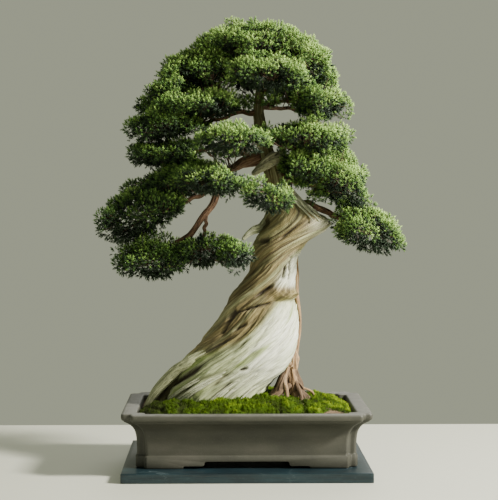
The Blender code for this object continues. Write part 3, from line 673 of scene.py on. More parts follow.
def trunkRings():
    # the CAD trunk as middle and reach by angle at each of its levels
    points = np.array([v.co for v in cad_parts["trunk"].data.vertices])
    points = np.unique(np.round(points, 5), axis=0)
    levels = []
    for height in np.unique(np.round(points[:, 2], 4)):
        ring = points[abs(points[:, 2] - height) < 0.0002]
        if len(ring) < 16:
            continue
        middle = (ring.min(0) + ring.max(0)) / 2
        off = ring - middle
        angle = np.arctan2(off[:, 1], off[:, 0])
        order = np.argsort(angle)
        angle, reach = angle[order], np.hypot(off[:, 0], off[:, 1])[order]
        levels.append((height, middle, angle, reach))
    return levels


def trunkMiddles(heights):
    # middles of the CAD trunk at some heights
    middles = np.array([middle for _, middle, _, _ in trunkLevels])
    return np.stack([np.interp(heights, [level[0] for level in trunkLevels], middles[:, k]) for k in range(3)], 1)


def softened(rows, **padding):
    # evens out the steps between levels
    soft = np.hanning(23)
    soft /= soft.sum()
    padded = np.pad(rows, ((11, 11), (0, 0)), **padding)
    return np.array([np.convolve(column, soft, "valid") for column in padded.T]).T


def trunkShape(theta, height, levels):
    # middle and reach of the smooth trunk for arrays of angle and height
    heights = np.array([level[0] for level in levels])
    middles = np.array([level[1] for level in levels])
    turns = np.linspace(-math.pi, math.pi, 181)
    table = np.array([np.interp(turns, a, r, period=2 * math.pi) for _, _, a, r in levels])
    fine = np.linspace(heights[0], heights[-1], 400)
    rows = np.array([np.interp(fine, heights, table[:, k]) for k in range(len(turns))]).T
    line = np.array([np.interp(fine, heights, middles[:, k]) for k in range(3)]).T
    rows = softened(rows, mode="edge")
    line = softened(line, mode="reflect", reflect_type="odd")
    level = (height - heights[0]) / (heights[-1] - heights[0]) * (len(fine) - 1)
    low = np.clip(level.astype(int), 0, len(fine) - 2)
    share = level - low
    turn = (np.mod(theta + math.pi, 2 * math.pi)) / (2 * math.pi) * (len(turns) - 1)
    left = np.clip(turn.astype(int), 0, len(turns) - 2)
    part = turn - left
    reach = (rows[low, left] * (1 - part) + rows[low, left + 1] * part) * (1 - share)
    reach += (rows[low + 1, left] * (1 - part) + rows[low + 1, left + 1] * part) * share
    middle = line[low] * (1 - share)[:, None] + line[low + 1] * share[:, None]
    return middle, reach


def woodRelief(turn, height, reach):
    # outward relief of the twisted grain, and how deep in a crevice the place is, for the painted shade in the crevices
    warp = noise.noise(Vector((math.cos(turn) * 1.3, math.sin(turn) * 1.3, height * 11)))
    strand = turn - np.interp(height, turnHeights, turnAngles) + 0.20 * warp
    size = min(reach / 0.085, 1.15)
    c, s = math.cos(strand), math.sin(strand)
    flute = groove(c * 1.3, s * 1.3, height * 5.0 + 3.1)
    held = 0.30 + 1.6 * abs(noise.noise(Vector((c + 3, s, height * 7))))
    cord = groove(c * 3.7 + 9, s * 3.7, height * 11.0)
    fibre = groove(c * 9.5, s * 9.5 + 5, height * 21.0)
    hair = groove(c * 22.0, s * 22.0, height * 46.0 + 7)
    chip = noise.fractal(Vector((c * 5, s * 5, height * 42)), 0.9, 2.0, 3)
    calm = 0.45 + 0.55 * min(abs(noise.noise(Vector((c * 1.5 + 4, s * 1.5, height * 6)))) * 3, 1)
    relief = deadwood["flutes"] * (flute - 0.62) * size * min(held, 1)
    relief += deadwood["strands"] * (cord - 0.62) * size * calm
    relief += deadwood["fibres"] * (fibre - 0.6) * min(size + 0.2, 1) * calm
    relief += deadwood["hairs"] * (hair - 0.5) + deadwood["chips"] * chip * size
    depth = max(0, 0.34 - flute) * 1.4 * min(held, 1)
    depth += max(0, 0.42 - cord) * 1.5 * calm + max(0, 0.36 - fibre) * 0.9 * calm
    return relief, min(depth, 1.0)


def marked(x, z, spot):
    # 1 in the middle of a spot, fading out over its half length and half width
    x0, z0, slope, halfLength, halfWidth = spot
    c, s = math.cos(math.radians(slope)), math.sin(math.radians(slope))
    along, off = (x - x0) * c + (z - z0) * s, (z - z0) * c - (x - x0) * s
    return np.exp(-((along / halfLength) ** 4) - (off / halfWidth) ** 2)


def eased(values, width):
    return 1 / (1 + np.exp(-values / width))


def bell(values, middle, width, power=2):
    # 1 at the middle, falling off on both sides
    return np.exp(-(((values - middle) / width) ** power))


def makeTrunk(finish):
    levels = trunkRings()
    piece, u, v = gridPiece("trunk", deadwood["columns"], deadwood["rows"])
    bottom, top = levels[0][0], levels[-1][0]
    # rows lie closer together where the trunk is thick
    height = bottom + (top - bottom) * (0.78 * v + 0.22 * v**4)
    theta = 2 * math.pi * u + math.pi / 2
    middle, reach = trunkShape(theta, height, levels)
    out = np.stack([np.cos(theta), np.sin(theta), np.zeros_like(theta)], 1)
    relief = np.empty(len(u))
    cavity = np.empty(len(u))
    for k in range(len(u)):
        relief[k], cavity[k] = woodRelief(theta[k], height[k], reach[k])
    smooth = middle + out * reach[:, None]
    x, z = smooth[:, 0], smooth[:, 2]
    front = np.clip(-1.6 * out[:, 1] + 0.3, 0, 1)
    strand = theta - np.interp(height, turnHeights, turnAngles)
    flow = np.stack([np.cos(strand) * 2.4, np.sin(strand) * 2.4, height * 3.4], 1)
    wander = np.array([noise.fractal(Vector(p), 0.8, 2.0, 3) for p in flow * (1.4, 1.4, 2.0)])
    # the belly on the lower right and the strip above the burl are bleached, the belly worn smooth too; the belly faces
    # the sun, and part of its whiteness is painted light
    belly = bell(theta % (2 * math.pi), 5.55, 0.80, 4) * bell(height, 0.262, 0.082, 4)
    strip = eased(x - 0.066 - 0.62 * (z - 0.385), 0.004) * bell(height, 0.408, 0.036, 6) * (out[:, 1] < 0.5)
    # the shoulder juts out to the right
    jut = np.clip(out[:, 0], 0, 1) ** 5 * bell(height, 0.506, 0.024)
    relief *= 1 - 0.22 * belly - 0.15 * strip
    relief += 0.021 * jut
    cavity *= 1 - 0.42 * belly - 0.20 * strip
    x0, z0, halfLength, halfHeight, proud = deadwood["burl"]
    burl = marked(x, z, (x0, z0, -6, halfLength, halfHeight)) * front
    scar = marked(x, z, (x0 - 0.006, z0, -2, halfLength * 1.25, halfHeight * 1.5))
    lumps = np.array([noise.fractal(Vector(p) * 70, 0.8, 2.0, 3) for p in smooth])
    relief += burl * proud * (1 + 0.5 * lumps)
    relief -= marked(x, z, (x0 + 0.004, z0 - 0.017, -4, halfLength, 0.0065)) * front * 0.006
    for spot in deadwood["hollows"]:
        # the edges of a split wander with the grain
        hollow = marked(x + 0.004 * wander, z + 0.003 * wander, spot[:5]) * front
        relief -= spot[5] * hollow
        # painted shade: splits are darkened
        cavity += 0.95 * hollow
    points = smooth + out * relief[:, None]
    line = np.array(deadwood["paleLine"])
    above = height - np.interp(x, line[:, 0], line[:, 1])
    upper = eased(above + 0.010 * wander, 0.004)
    # painted highlight: the lit lower edge of the jutting shoulder is made pale
    edge = jut * eased(0.512 - height, 0.003) * 0.8
    bleached = np.clip(0.95 * belly * (1 - upper) + 0.85 * strip + edge, 0, 1) * (1 - scar)
    bleached *= np.clip(0.85 + 0.7 * wander, 0, 1)
    tanned = np.clip(upper * (0.85 + 0.5 * wander) + 0.30 * np.clip(wander, 0, 1), 0, 1) * (1 - strip)
    tanned = np.clip(tanned * (1 - belly * (1 - upper)) + 0.9 * scar, 0, 1)
    band = bell(above, -0.022, 0.020) * front
    foot = bell(x, -0.135, 0.05) * bell(height, 0.165, 0.035) * 0.8
    seep = belly * bell(height, 0.225, 0.050) * 0.75
    algae = np.clip((band + foot + seep) * (0.42 + 1.5 * wander), 0, 0.85)
    cavity = np.clip(cavity, 0, 1)
    marks = {"flow": flow, "cavity": cavity, "tanned": tanned, "algae": algae, "bleached": bleached}
    for name, values in marks.items():
        setAttribute(piece, name, values)
    closeStem(piece, points, finish)
    hand(piece, ["trunk"])
    return levels


def stemPiece(name, path, widths, look, finish):
    # a round stem with its own relief: grooves along it, lumps and a little bend
    across, up = turnedFrames(path)
    length = np.concatenate([[0], np.cumsum(np.linalg.norm(np.diff(path, axis=0), axis=1))])
    rows = max(12, int(length[-1] / look["pitch"]))
    piece, u, v = gridPiece(name, look["columns"], rows)
    place = v * length[-1]
    turn = 2 * math.pi * u
    path, across, up = (
        np.array([np.interp(place, length, data[:, k]) for k in range(3)]).T for data in (path, across, up)
    )
    radius = np.interp(place, length, widths)
    seed = sum(map(ord, name)) % 97
    strand = turn - look["twist"] * place
    c, s = np.cos(strand), np.sin(strand)
    relief = np.empty(len(u))
    cavity = np.empty(len(u))
    for k in range(len(u)):
        rib = groove(c[k] * 1.4 + seed, s[k] * 1.4, place[k] * look["along"] * 0.5)
        flake = groove(c[k] * 3.6, s[k] * 3.6 + seed, place[k] * look["along"])
        lump = noise.noise(Vector((c[k] * 0.6, s[k] * 0.6, place[k] * 28 + seed)))
        relief[k] = look["ribs"] * (rib - 0.6) + look["flakes"] * (flake - 0.5) + look["lumps"] * lump
        # painted shade in the grooves of the bark
        cavity[k] = min(max(0, 0.40 - rib) * 1.6 + max(0, 0.38 - flake) * 1.3, 1)
    # both ends close to a point
    cap = np.minimum(place / (0.7 * widths[0]), (length[-1] - place) / (1.2 * widths[-1] + 1e-4))
    cap = np.sqrt(1 - (1 - np.clip(cap, 0, 1)) ** 2)
    reach = radius * cap * (1 + relief)
    out = across * np.cos(turn)[:, None] + up * np.sin(turn)[:, None]
    flow = np.stack([c * 1.6 + seed, s * 1.6, place * look["flowAlong"]], 1)
    setAttribute(piece, "flow", flow)
    setAttribute(piece, "cavity", np.clip(cavity + look.get("shade", 0), 0, 1))
    for mark in ("tanned", "algae", "bleached"):
        setAttribute(piece, mark, np.full(len(u), look[mark]))
    closeStem(piece, path + out * reach[:, None], finish)
    return piece


def addStem(name, points, widths, steps, look, finish, nodes=()):
    # a stem through a few points, handed over
    path, widths = smoothPath(points, widths, steps)
    hand(stemPiece(name, path, widths, look, finish), nodes)


def fromThickEnd(node, bins, chance, backwards):
    # the spine of a CAD stem, turned round where it runs the wrong way
    centres, radii = spineOf(node, bins, chance)
    return (centres[::-1], radii[::-1]) if backwards(centres, radii) else (centres, radii)


jinLook = {
    "columns": 36,
    "pitch": 0.0016,
    "ribs": 0.34,
    "flakes": 0.10,
    "lumps": 0.10,
    "twist": 14.0,
    "along": 22.0,
    "flowAlong": 7.0,
    "tanned": 0.25,
    "algae": 0.12,
    "bleached": 0.15,
}
oldTopLook = {**jinLook, "ribs": 0.50, "tanned": 0.70, "algae": 0.0}
ridgeLook = {**jinLook, "columns": 44, "pitch": 0.0018, "ribs": 0.36, "flakes": 0.16, "lumps": 0.06}
ridgeLook |= {"twist": 5.0, "along": 10.0, "flowAlong": 3.5, "tanned": 0.38, "algae": 0.16, "bleached": 0.10}
# painted shade: the wood in the hollow behind the ridge is darkened
ridgeShadowLook = {**ridgeLook, "lumps": 0.30, "tanned": 0.8, "bleached": 0.0, "shade": 0.72}
splinterLook = {**jinLook, "columns": 10, "pitch": 0.003, "ribs": 0.30, "lumps": 0.20, "twist": 9.0}
splinterLook |= {"along": 30.0, "flowAlong": 6.0, "tanned": 0.20, "algae": 0.10, "bleached": 0.30}
# strands beside the ridge: how far to the front and up, and how thick
ridgeStrands = (
    (0.008, 0.004, 0.0046),
    (0.010, -0.004, 0.0040),
    (-0.004, 0.008, 0.0042),
    (0.004, 0.009, 0.0032),
)
# cords: angle round the trunk, thickness and reach
shoulderCords = (
    (-0.75, 0.0024, 1.0),
    (-0.50, 0.0030, 1.02),
    (-0.28, 0.0026, 1.04),
    (-0.05, 0.0032, 1.03),
    (0.20, 0.0026, 1.0),
)


def onTrunk(theta, height, share=1.0):
    # a point at a share of the trunk's reach, for single values of angle and height
    middle, reach = trunkShape(np.array([theta]), np.array([height]), trunkLevels)
    return middle[0] + share * reach[0] * np.array((math.cos(theta), math.sin(theta), 0))


def makeDeadStems(finish, chance):
    for node, name, swell in (("jin_crown", "jinCrown", 1.1), ("jin_stub", "jinStub", 1.0)):
        centres, radii = fromThickEnd(node, 9, chance, lambda _, r: r[0] < r[-1])
        inside = centres[0] - unit(centres[1] - centres[0]) * 0.02
        points, widths = np.vstack([inside, centres]), np.concatenate([[radii[0]], radii]) * swell
        addStem(name, points, widths, 8, jinLook, finish, [node])
    # the bleached root leaves the trunk as a long ridge of strands down its left side
    centres = spineOf("root_left", 9, chance)[0]
    tip = centres[centres[:, 0].argmin()]
    ridge = [onTrunk(math.pi * turn, height, share) for turn, height, share in
             ((1.14, 0.262, 0.70), (1.12, 0.238, 0.83), (1.10, 0.218, 0.94), (1.07, 0.200, 1.01))]
    way = tip - ridge[-1]
    arch = [ridge[-1] + way * share + np.array((0, 0, rise)) for share, rise in ((0.36, 0.008), (0.70, 0.010))]
    path = np.vstack([ridge, arch, [tip]])
    widths = (0.004, 0.009, 0.012, 0.0125, 0.0110, 0.0088, 0.0052)
    addStem("bleachedRoot", path, widths, 8, ridgeLook, finish, ["root_left"])
    for k, (side, rise, thick) in enumerate(ridgeStrands):
        shift = np.linspace(0.9, 0.45, len(path))[:, None] * np.array((side * 0.3, -side, rise))
        widths = thick * np.array((0.5, 0.9, 1, 1, 0.95, 0.85, 0.5))
        addStem(f"ridgeStrand{k + 1}", path + shift, widths, 7, ridgeLook, finish)
    # dark wood behind it, painted dark as the shade in the hollow behind the ridge
    heart = [onTrunk(math.pi * 0.98, 0.205, 0.84), onTrunk(math.pi * 0.98, 0.165, 0.98)]
    heart.append(tip + np.array((0.020, 0.016, 0.004)))
    addStem("ridgeHeart", heart, (0.012, 0.020, 0.015), 7, ridgeShadowLook, finish)
    # the stub of an old top, in front of the trunk
    stub = [(0.062, -0.008, 0.642), (0.060, -0.028, 0.640), (0.040, -0.042, 0.626), (0.012, -0.050, 0.604)]
    addStem("oldTop", stub, (0.010, 0.012, 0.0105, 0.0038), 8, oldTopLook, finish)
    # weathered cords on the jutting shoulder
    for k, (turn, thick, far) in enumerate(shoulderCords):
        line = [onTrunk(turn + lean, height, share * far) for lean, height, share in
                ((-0.30, 0.580, 0.95), (-0.14, 0.552, 1.08), (-0.04, 0.528, 1.14), (0.0, 0.508, 1.24))]
        widths = (thick, thick, thick * 0.9, thick * 0.5)
        addStem(f"shoulderCord{k + 1}", line, widths, 7, splinterLook, finish)
    # splinters that lie along the foot of the trunk and beside the root
    for k in range(14):
        start = chance.uniform(3.3, 5.2)
        low, high = chance.uniform(0.128, 0.140), chance.uniform(0.165, 0.215)
        rises = (high, (low + high) / 2, low)
        lean = np.interp(rises, turnHeights, turnAngles)
        shares = (0.945, 1.01, 1.04 + chance.uniform(0, 0.04))
        line = [onTrunk(start + turn - lean[2], rise, share) for turn, rise, share in zip(lean, rises, shares)]
        thick = chance.uniform(0.0016, 0.0030)
        widths = (thick * 0.7, thick, thick * 0.5)
        addStem(f"splinter{k + 1}", line, widths, 6, splinterLook, finish)


bleachedWood = deadwoodFinish()
trunkLevels = makeTrunk(bleachedWood)
stemChance = np.random.default_rng(5)
makeDeadStems(bleachedWood, stemChance)
print("trunk, bleached root and jins made")


# live bark: the vein, its roots and the branches

veinLook = {
    "columns": 40,
    "pitch": 0.0018,
    "ribs": 0.20,
    "flakes": 0.10,
    "lumps": 0.10,
    "twist": 3.0,
    "along": 16.0,
    "flowAlong": 9.0,
    "tanned": 0.0,
    "algae": 0.0,
    "bleached": 0.0,
}
gnarledLook = {**veinLook, "ribs": 0.30, "flakes": 0.16, "lumps": 0.42, "along": 24.0}
branchLook = {**veinLook, "columns": 26, "pitch": 0.0020, "ribs": 0.22, "flakes": 0.16, "lumps": 0.22}
branchLook |= {"twist": 6.0, "along": 30.0, "flowAlong": 14.0}
rootLook = {**branchLook, "columns": 16, "pitch": 0.0024, "lumps": 0.34, "twist": 8.0, "along": 26.0, "flowAlong": 12.0}
# painted shade for the mass between the roots
rootHeart = {**rootLook, "columns": 40, "lumps": 0.5, "ribs": 0.4, "shade": 0.45}
rootWeb = {"count": 24, "left": -0.066, "right": 0.044, "thick": (0.0022, 0.0056)}


def barkFinish(name, dark, body, light):
    made, tree, shader = shaderOf(name, 0.82)
    flow = attributeOn(tree, "flow", "Vector")
    strips = noiseOn(tree, flow, 2.6, 6.0, 0.65)
    colour = rampOn(tree, strips, [(0.30, dark), (0.50, body), (0.70, light)])
    flakes = rampOn(tree, noiseOn(tree, flow, 11.0, 3.0), [(0.36, (0.45, 0.42, 0.40)), (0.55, grey(1))])
    colour = blendOn(tree, 0.7, colour, flakes, "MULTIPLY")
    # painted shade: grooves darkened towards the bark's darkest colour
    colour = blendOn(tree, attributeOn(tree, "cavity"), colour, tuple(0.25 * x for x in dark))
    tree.links.new(colour, shader.inputs["Base Color"])
    bumpOn(tree, shader, noiseOn(tree, flow, 16.0, 5.0, 0.65), 0.6, 0.0010)
    return made


def makeVein(finish, chance):
    centres, radii = fromThickEnd("live_vein", 26, chance, lambda c, _: c[0][2] > c[-1][2])
    # stands a little prouder of the trunk than its CAD strip
    centres[:, :2] += unit(centres[:, :2] - trunkMiddles(centres[:, 2])[:, :2]) * 0.0016
    addStem("liveVein", centres, np.maximum(radii * 1.02, 0.0036), 6, veinLook, finish, ["live_vein"])


def makeRoots(finish, darkFinish, chance):
    for node in ("root_main", "root_front", "root_right"):
        centres, radii = fromThickEnd(node, 8, chance, lambda c, _: c[0][2] < c[-1][2])
        swell, bark = (1.10, finish) if node == "root_main" else (0.85, darkFinish)
        centres[1:-1] += chance.normal(0, 0.0016, (len(centres) - 2, 3))
        name = "root" + capitals(node.split("_")[1:])
        addStem(name, centres, radii * swell, 8, gnarledLook, bark, [node])
    # thinner roots woven between them, from the knot down into the moss
    knot = spineOf("root_main", 8, chance)[0]
    knot = knot[knot[:, 2].argmax()]
    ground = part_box("root_main")[0].z + 0.004
    for k in range(rootWeb["count"]):
        share = k / (rootWeb["count"] - 1)
        end = knot + np.array((rootWeb["left"] + (rootWeb["right"] - rootWeb["left"]) * share, 0, 0))
        end[1] += -0.036 + 0.030 * math.sin(5 * k) + 0.030 * share
        end[2] = ground
        start = knot + chance.normal(0, 0.004, 3)
        start += (-0.25 * (1 - share) * 0.03, -0.004, -0.045 * chance.random())
        bends = [chance.normal(0, 0.0075, 3) * (1, 0.8, 0.5) for _ in range(2)]
        middle = [start + (end - start) * part + bend for part, bend in zip((0.30, 0.62), bends)]
        middle[1][0] += 0.25 * (end[0] - start[0])
        thick = chance.uniform(*rootWeb["thick"])
        widths = (thick * 0.9, thick, thick * 1.05, thick * 0.8)
        bark = finish if k % 4 == 3 else darkFinish
        addStem(f"rootStrand{k + 1}", [start, *middle, end], widths, 7, rootLook, bark)
    # a mass between the roots painted dark as the shade there, and the swollen collar above them
    heart = [knot + (-0.006, 0.004, 0.004), knot + (-0.012, 0.0, -0.030)]
    heart.append((knot[0] - 0.014, knot[1] + 0.004, ground))
    addStem("rootHeart", heart, (0.007, 0.016, 0.027), 7, rootHeart, darkFinish)
    collar = [knot + (0.000, 0.002, 0.034), knot + (0.003, -0.003, 0.014), knot + (0.005, -0.004, -0.012)]
    addStem("rootCollar", collar, (0.0060, 0.0105, 0.0080), 7, gnarledLook, finish)


def makeBranches(finish, chance):
    middle = trunkMiddles(np.linspace(0.5, 0.84, 80))

    def endsAtTrunk(centres, _):
        first, last = (np.linalg.norm(middle - centres[k], axis=1).min() for k in (0, -1))
        return first > last

    for node in nodesNamed("branch_"):
        centres, radii = fromThickEnd(node, 9, chance, endsAtTrunk)
        # starts inside the wood it springs from, with a thicker collar, and wanders a little
        inside = centres[0] - unit(centres[1] - centres[0]) * 0.014
        wander = min(0.0022, 0.016 * np.linalg.norm(centres[-1] - centres[0]))
        centres[1:-1] += chance.normal(0, wander, (len(centres) - 2, 3))
        widths = np.concatenate([[radii[0] * 1.5, radii[0] * 1.25], radii[1:]])
        name = "branch" + capitals(node.split("_")[1:])
        addStem(name, np.vstack([inside, centres]), widths, 7, branchLook, finish, [node])


veinBark = barkFinish("liveBark", (0.10, 0.048, 0.022), (0.36, 0.225, 0.11), (0.62, 0.49, 0.31))
branchBark = barkFinish("branchBark", (0.045, 0.022, 0.012), (0.150, 0.075, 0.038), (0.30, 0.19, 0.11))
makeVein(veinBark, stemChance)
rootBark = barkFinish("rootBark", (0.030, 0.018, 0.010), (0.135, 0.082, 0.042), (0.34, 0.235, 0.14))
makeRoots(veinBark, rootBark, stemChance)
makeBranches(branchBark, stemChance)
print("vein, roots and branches made")


# foliage: sprigs on twigs, gathered in small domes over each pad

foliage = {
    "fingers": 8,
    "sprigHeight": 0.0058,
    "fingerLength": 0.0058,
    "fingerWidth": 0.00082,
    "domeSpacing": 0.0180,
    "domeSize": 0.0136,
    "sprigsOnDome": 22,
    "sunk": 0.0075,
    "uneven": 0.0150,
    "stops": [(0.0, (0.004, 0.012, 0.004)), (0.28, (0.014, 0.046, 0.009)), (0.55, (0.078, 0.178, 0.027)),
              (0.80, (0.225, 0.400, 0.072)), (1.0, (0.410, 0.600, 0.165))],
    "tips": [(0.0, grey(0.42)), (0.55, grey(0.95)), (1.0, (1.30, 1.28, 1.00))],
}
tuft = {"gap": 0.058, "spacing": 0.0145, "most": 360, "sprigs": 12, "size": 0.0125}
# leafy spurs close to the trunk and the branches: x, y, z and size
spurs = (
    (0.045, -0.050, 0.686, 0.026),
    (-0.075, -0.035, 0.690, 0.024),
    (-0.050, -0.020, 0.738, 0.020),
    (0.000, -0.010, 0.752, 0.022),
    (0.055, -0.025, 0.760, 0.020),
    (-0.052, -0.035, 0.648, 0.018),
    (0.108, -0.040, 0.586, 0.016),
    (0.150, -0.020, 0.562, 0.020),
    (0.205, -0.010, 0.545, 0.022),
    (0.118, -0.060, 0.655, 0.020),
)
# open gaps in the crown: x, z, half width, half height
skyGaps = (
    (-0.102, 0.783, 0.014, 0.007),
    (-0.030, 0.717, 0.012, 0.017),
    (0.027, 0.717, 0.016, 0.017),
    (0.085, 0.723, 0.024, 0.020),
    (-0.194, 0.668, 0.010, 0.007),
    (-0.153, 0.672, 0.016, 0.007),
    (-0.087, 0.627, 0.018, 0.013),
    (-0.026, 0.520, 0.042, 0.042),
    (-0.143, 0.479, 0.026, 0.012),
)
padSpots = []


def makeSprig():
    # one sprig: pointed fingers round a short axis along Z
    clearSelection()
    fingers = []
    for k in range(foliage["fingers"]):
        share = k / (foliage["fingers"] - 1)
        around = k * goldenTurn
        lean = math.radians(62 - 50 * share)
        long = foliage["fingerLength"] * (1.1 - 0.30 * share)
        way = Vector((math.sin(lean) * math.cos(around), math.sin(lean) * math.sin(around), math.cos(lean)))
        foot = Vector((0, 0, foliage["sprigHeight"] * share))
        bpy.ops.mesh.primitive_cone_add(
            vertices=3,
            radius1=foliage["fingerWidth"],
            radius2=0,
            depth=long,
            location=foot + way * long / 2,
            rotation=way.to_track_quat("Z", "Y").to_euler(),
        )
        fingers.append(bpy.context.object)
    clearSelection()
    for finger in fingers:
        finger.select_set(True)
    bpy.context.view_layer.objects.active = fingers[0]
    bpy.ops.object.join()
    sprig = bpy.context.object
    bpy.ops.object.transform_apply(location=True, rotation=True, scale=True)
    sprig.data.calc_loop_triangles()
    points = np.array([v.co for v in sprig.data.vertices])
    faces = np.array([t.vertices for t in sprig.data.loop_triangles])
    bpy.data.objects.remove(sprig)
    return points, faces


def thinned(points, spacing):
    # keeps points at least the spacing apart, first come first kept
    cells, kept = {}, []
    for k, p in enumerate(points):
        key = tuple((p // spacing).astype(int))
        close = (
            j
            for dx in (-1, 0, 1)
            for dy in (-1, 0, 1)
            for dz in (-1, 0, 1)
            for j in cells.get((key[0] + dx, key[1] + dy, key[2] + dz), ())
        )
        if all(((points[j] - p) ** 2).sum() > spacing**2 for j in close):
            cells.setdefault(key, []).append(k)
            kept.append(k)
    return np.array(kept)


def placeSprigs(sprig, spots, ways, sizes, chance):
    # turned and sized copies of the sprig, as one array of points
    side = unit(np.cross(ways, unit(chance.normal(size=ways.shape))))
    turn = np.stack([side, np.cross(ways, side), ways], 2)
    points = np.einsum("nij,vj->nvi", turn, sprig[0]) * sizes[:, None, None] + spots[:, None, :]
    count = len(sprig[0])
    faces = sprig[1][None] + (np.arange(len(spots)) * count)[:, None, None]
    return points.reshape(-1, 3), faces.reshape(-1, 3)


def twigMesh(ends):
    # thin three-sided twigs, each from a start to an end, sagging a little on the way
    points, faces = [], []
    for start, end, thick, thin in ends:
        way = unit(end - start)
        side = unit(np.cross(way, (0.21, 0.37, 0.9)))
        up = np.cross(way, side)
        base = len(points)
        long = np.linalg.norm(end - start)
        for k, share in enumerate((0.0, 0.35, 0.70, 1.0)):
            middle = start + (end - start) * share - np.array((0, 0, 0.10 * long * math.sin(math.pi * share)))
            radius = thick + (thin - thick) * share
            for j in range(3):
                angle = 2 * math.pi * j / 3
                points.append(middle + radius * (side * math.cos(angle) + up * math.sin(angle)))
            if k:
                for j in range(3):
                    a, b = base + 3 * (k - 1) + j, base + 3 * (k - 1) + (j + 1) % 3
                    faces += [(a, b, b + 3), (a, b + 3, a + 3)]
        faces += [(base, base + 2, base + 1), (base + 9, base + 10, base + 11)]
    return np.array(points), np.array(faces)


def woodNear(place):
    # the nearest point of any branch or the trunk's upper part
    best, found = 9.0, None
    for node, points in woodPoints.items():
        gaps = np.linalg.norm(points - place, axis=1)
        k = gaps.argmin()
        if gaps[k] < best:
            best, found = gaps[k], points[k]
    return found


def paintedSunTint(spot):
    # painted light: the tint is lighter towards the top and the right, where the sun falls
    return min(max(0.60 * spot[0] / 0.25 + 0.50 * (spot[2] - 0.60) / 0.30, -0.80), 1.0) * 0.20


def makePad(node, number, sprig, finishes):
    chance = np.random.default_rng(100 + number)
    area = surfacePoints(node, 10, chance)[2]
    tries = int(area / foliage["domeSpacing"] ** 2 * 7)
    spots, normals, _ = surfacePoints(node, tries, chance)
    kept = thinned(spots, foliage["domeSpacing"])
    spots, normals = spots[kept], normals[kept]
    low, high = map(np.array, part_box(node))
    middle, half = (low + high) / 2, (high - low) / 2
    away = unit((spots - middle) / half)
    normals = unit(normals * 0.6 + away * 0.6)
    # the underside keeps only some of its domes
    keep = (normals[:, 2] > -0.35) | (chance.random(len(spots)) < 0.45)
    spots, normals = spots[keep], normals[keep]
    # some domes stand out from the others
    ragged = (chance.random(len(spots)) < 0.30) * chance.uniform(0.004, 0.014, len(spots))
    spots = spots + unit(normals + (0, 0, 0.25)) * ragged[:, None]
    rough = [noise.noise(Vector(spot) * 20) + 0.8 * noise.noise(Vector(spot) * 55) for spot in spots]
    spots = spots - normals * (foliage["sunk"] - foliage["uneven"] * np.array(rough)[:, None])
    spots += chance.normal(0, 0.0028, spots.shape)
    # none of them stands alone
    lone = np.array([np.sort(np.linalg.norm(spots - spot, axis=1))[2] > 0.0255 for spot in spots])
    spots, normals = spots[~lone], normals[~lone]
    places, ways, sizes, tints = [], [], [], []
    for spot, normal in zip(spots, normals):
        size = foliage["domeSize"] * chance.uniform(0.72, 1.20)
        count = foliage["sprigsOnDome"] if normal[2] > -0.35 else foliage["sprigsOnDome"] // 2
        count = int(count * (size / foliage["domeSize"]) ** 1.6)
        # directions over a dome round the normal
        share = (np.arange(count) + 0.5) / count
        lean = np.arccos(1 - share * 0.86)
        around = np.arange(count) * goldenTurn + chance.uniform(0, 6)
        side = unit(np.cross(normal, (0.13, 0.22, 0.95) if abs(normal[2]) < 0.9 else (1.0, 0.2, 0)))
        other = np.cross(normal, side)
        rays = (
            normal * np.cos(lean)[:, None]
            + side * (np.sin(lean) * np.cos(around))[:, None]
            + other * (np.sin(lean) * np.sin(around))[:, None]
        )
        heart = spot - normal * size * 0.55
        places.append(heart + rays * size * chance.uniform(0.72, 1.04, (count, 1)))
        ways.append(unit(rays + np.array((0, 0, 0.32)) + chance.normal(0, 0.26, rays.shape)))
        sizes.append(chance.uniform(0.72, 1.20, count))
        # painted light: sprigs that face up and out of their dome are tinted lighter, on top of the sunny side and a
        # random tone
        litTint = 0.56 + paintedSunTint(spot) + 0.20 * rays[:, 2] + 0.10 * normal[2] + 0.22 * (rays @ normal - 0.6)
        litTint += chance.normal(0, 0.13, count) + chance.normal(0, 0.07)
        tints.append(litTint)
    # a sparse layer further in, its sprigs painted dark as the shade inside the pad
    deep = len(spots) * 7
    inner = surfacePoints(node, deep, chance)[0]
    inner = middle + (inner - middle) * chance.uniform(0.50, 0.84, (deep, 1))
    places.append(inner)
    ways.append(unit(inner - middle + chance.normal(0, 0.02, inner.shape)))
    sizes.append(chance.uniform(1.3, 1.9, deep))
    tints.append(np.full(deep, 0.12))
    places, ways = np.vstack(places), np.vstack(ways)
    sizes, tints = np.concatenate(sizes), np.clip(np.concatenate(tints), 0.03, 0.97)
    # twigs: from the nearest wood to a few forks, and from the forks to the domes
    root = woodNear(middle)
    forks = spots[thinned(spots, 0.050)]
    forks = forks + (root - forks) * 0.45 - np.array((0, 0, 0.004))
    twigs = [(root, fork, 0.0019, 0.0012) for fork in forks]
    for spot, normal in zip(spots, normals):
        fork = forks[np.linalg.norm(forks - spot, axis=1).argmin()]
        twigs.append((fork, spot - normal * 0.003, 0.0010, 0.0005))
    name = "foliage" + capitals(node.split("_")[2:])
    padSpots.append((spots, normals))
    return dressSprigs(name, sprig, (places, ways, sizes, tints), twigs, finishes, chance, [node])


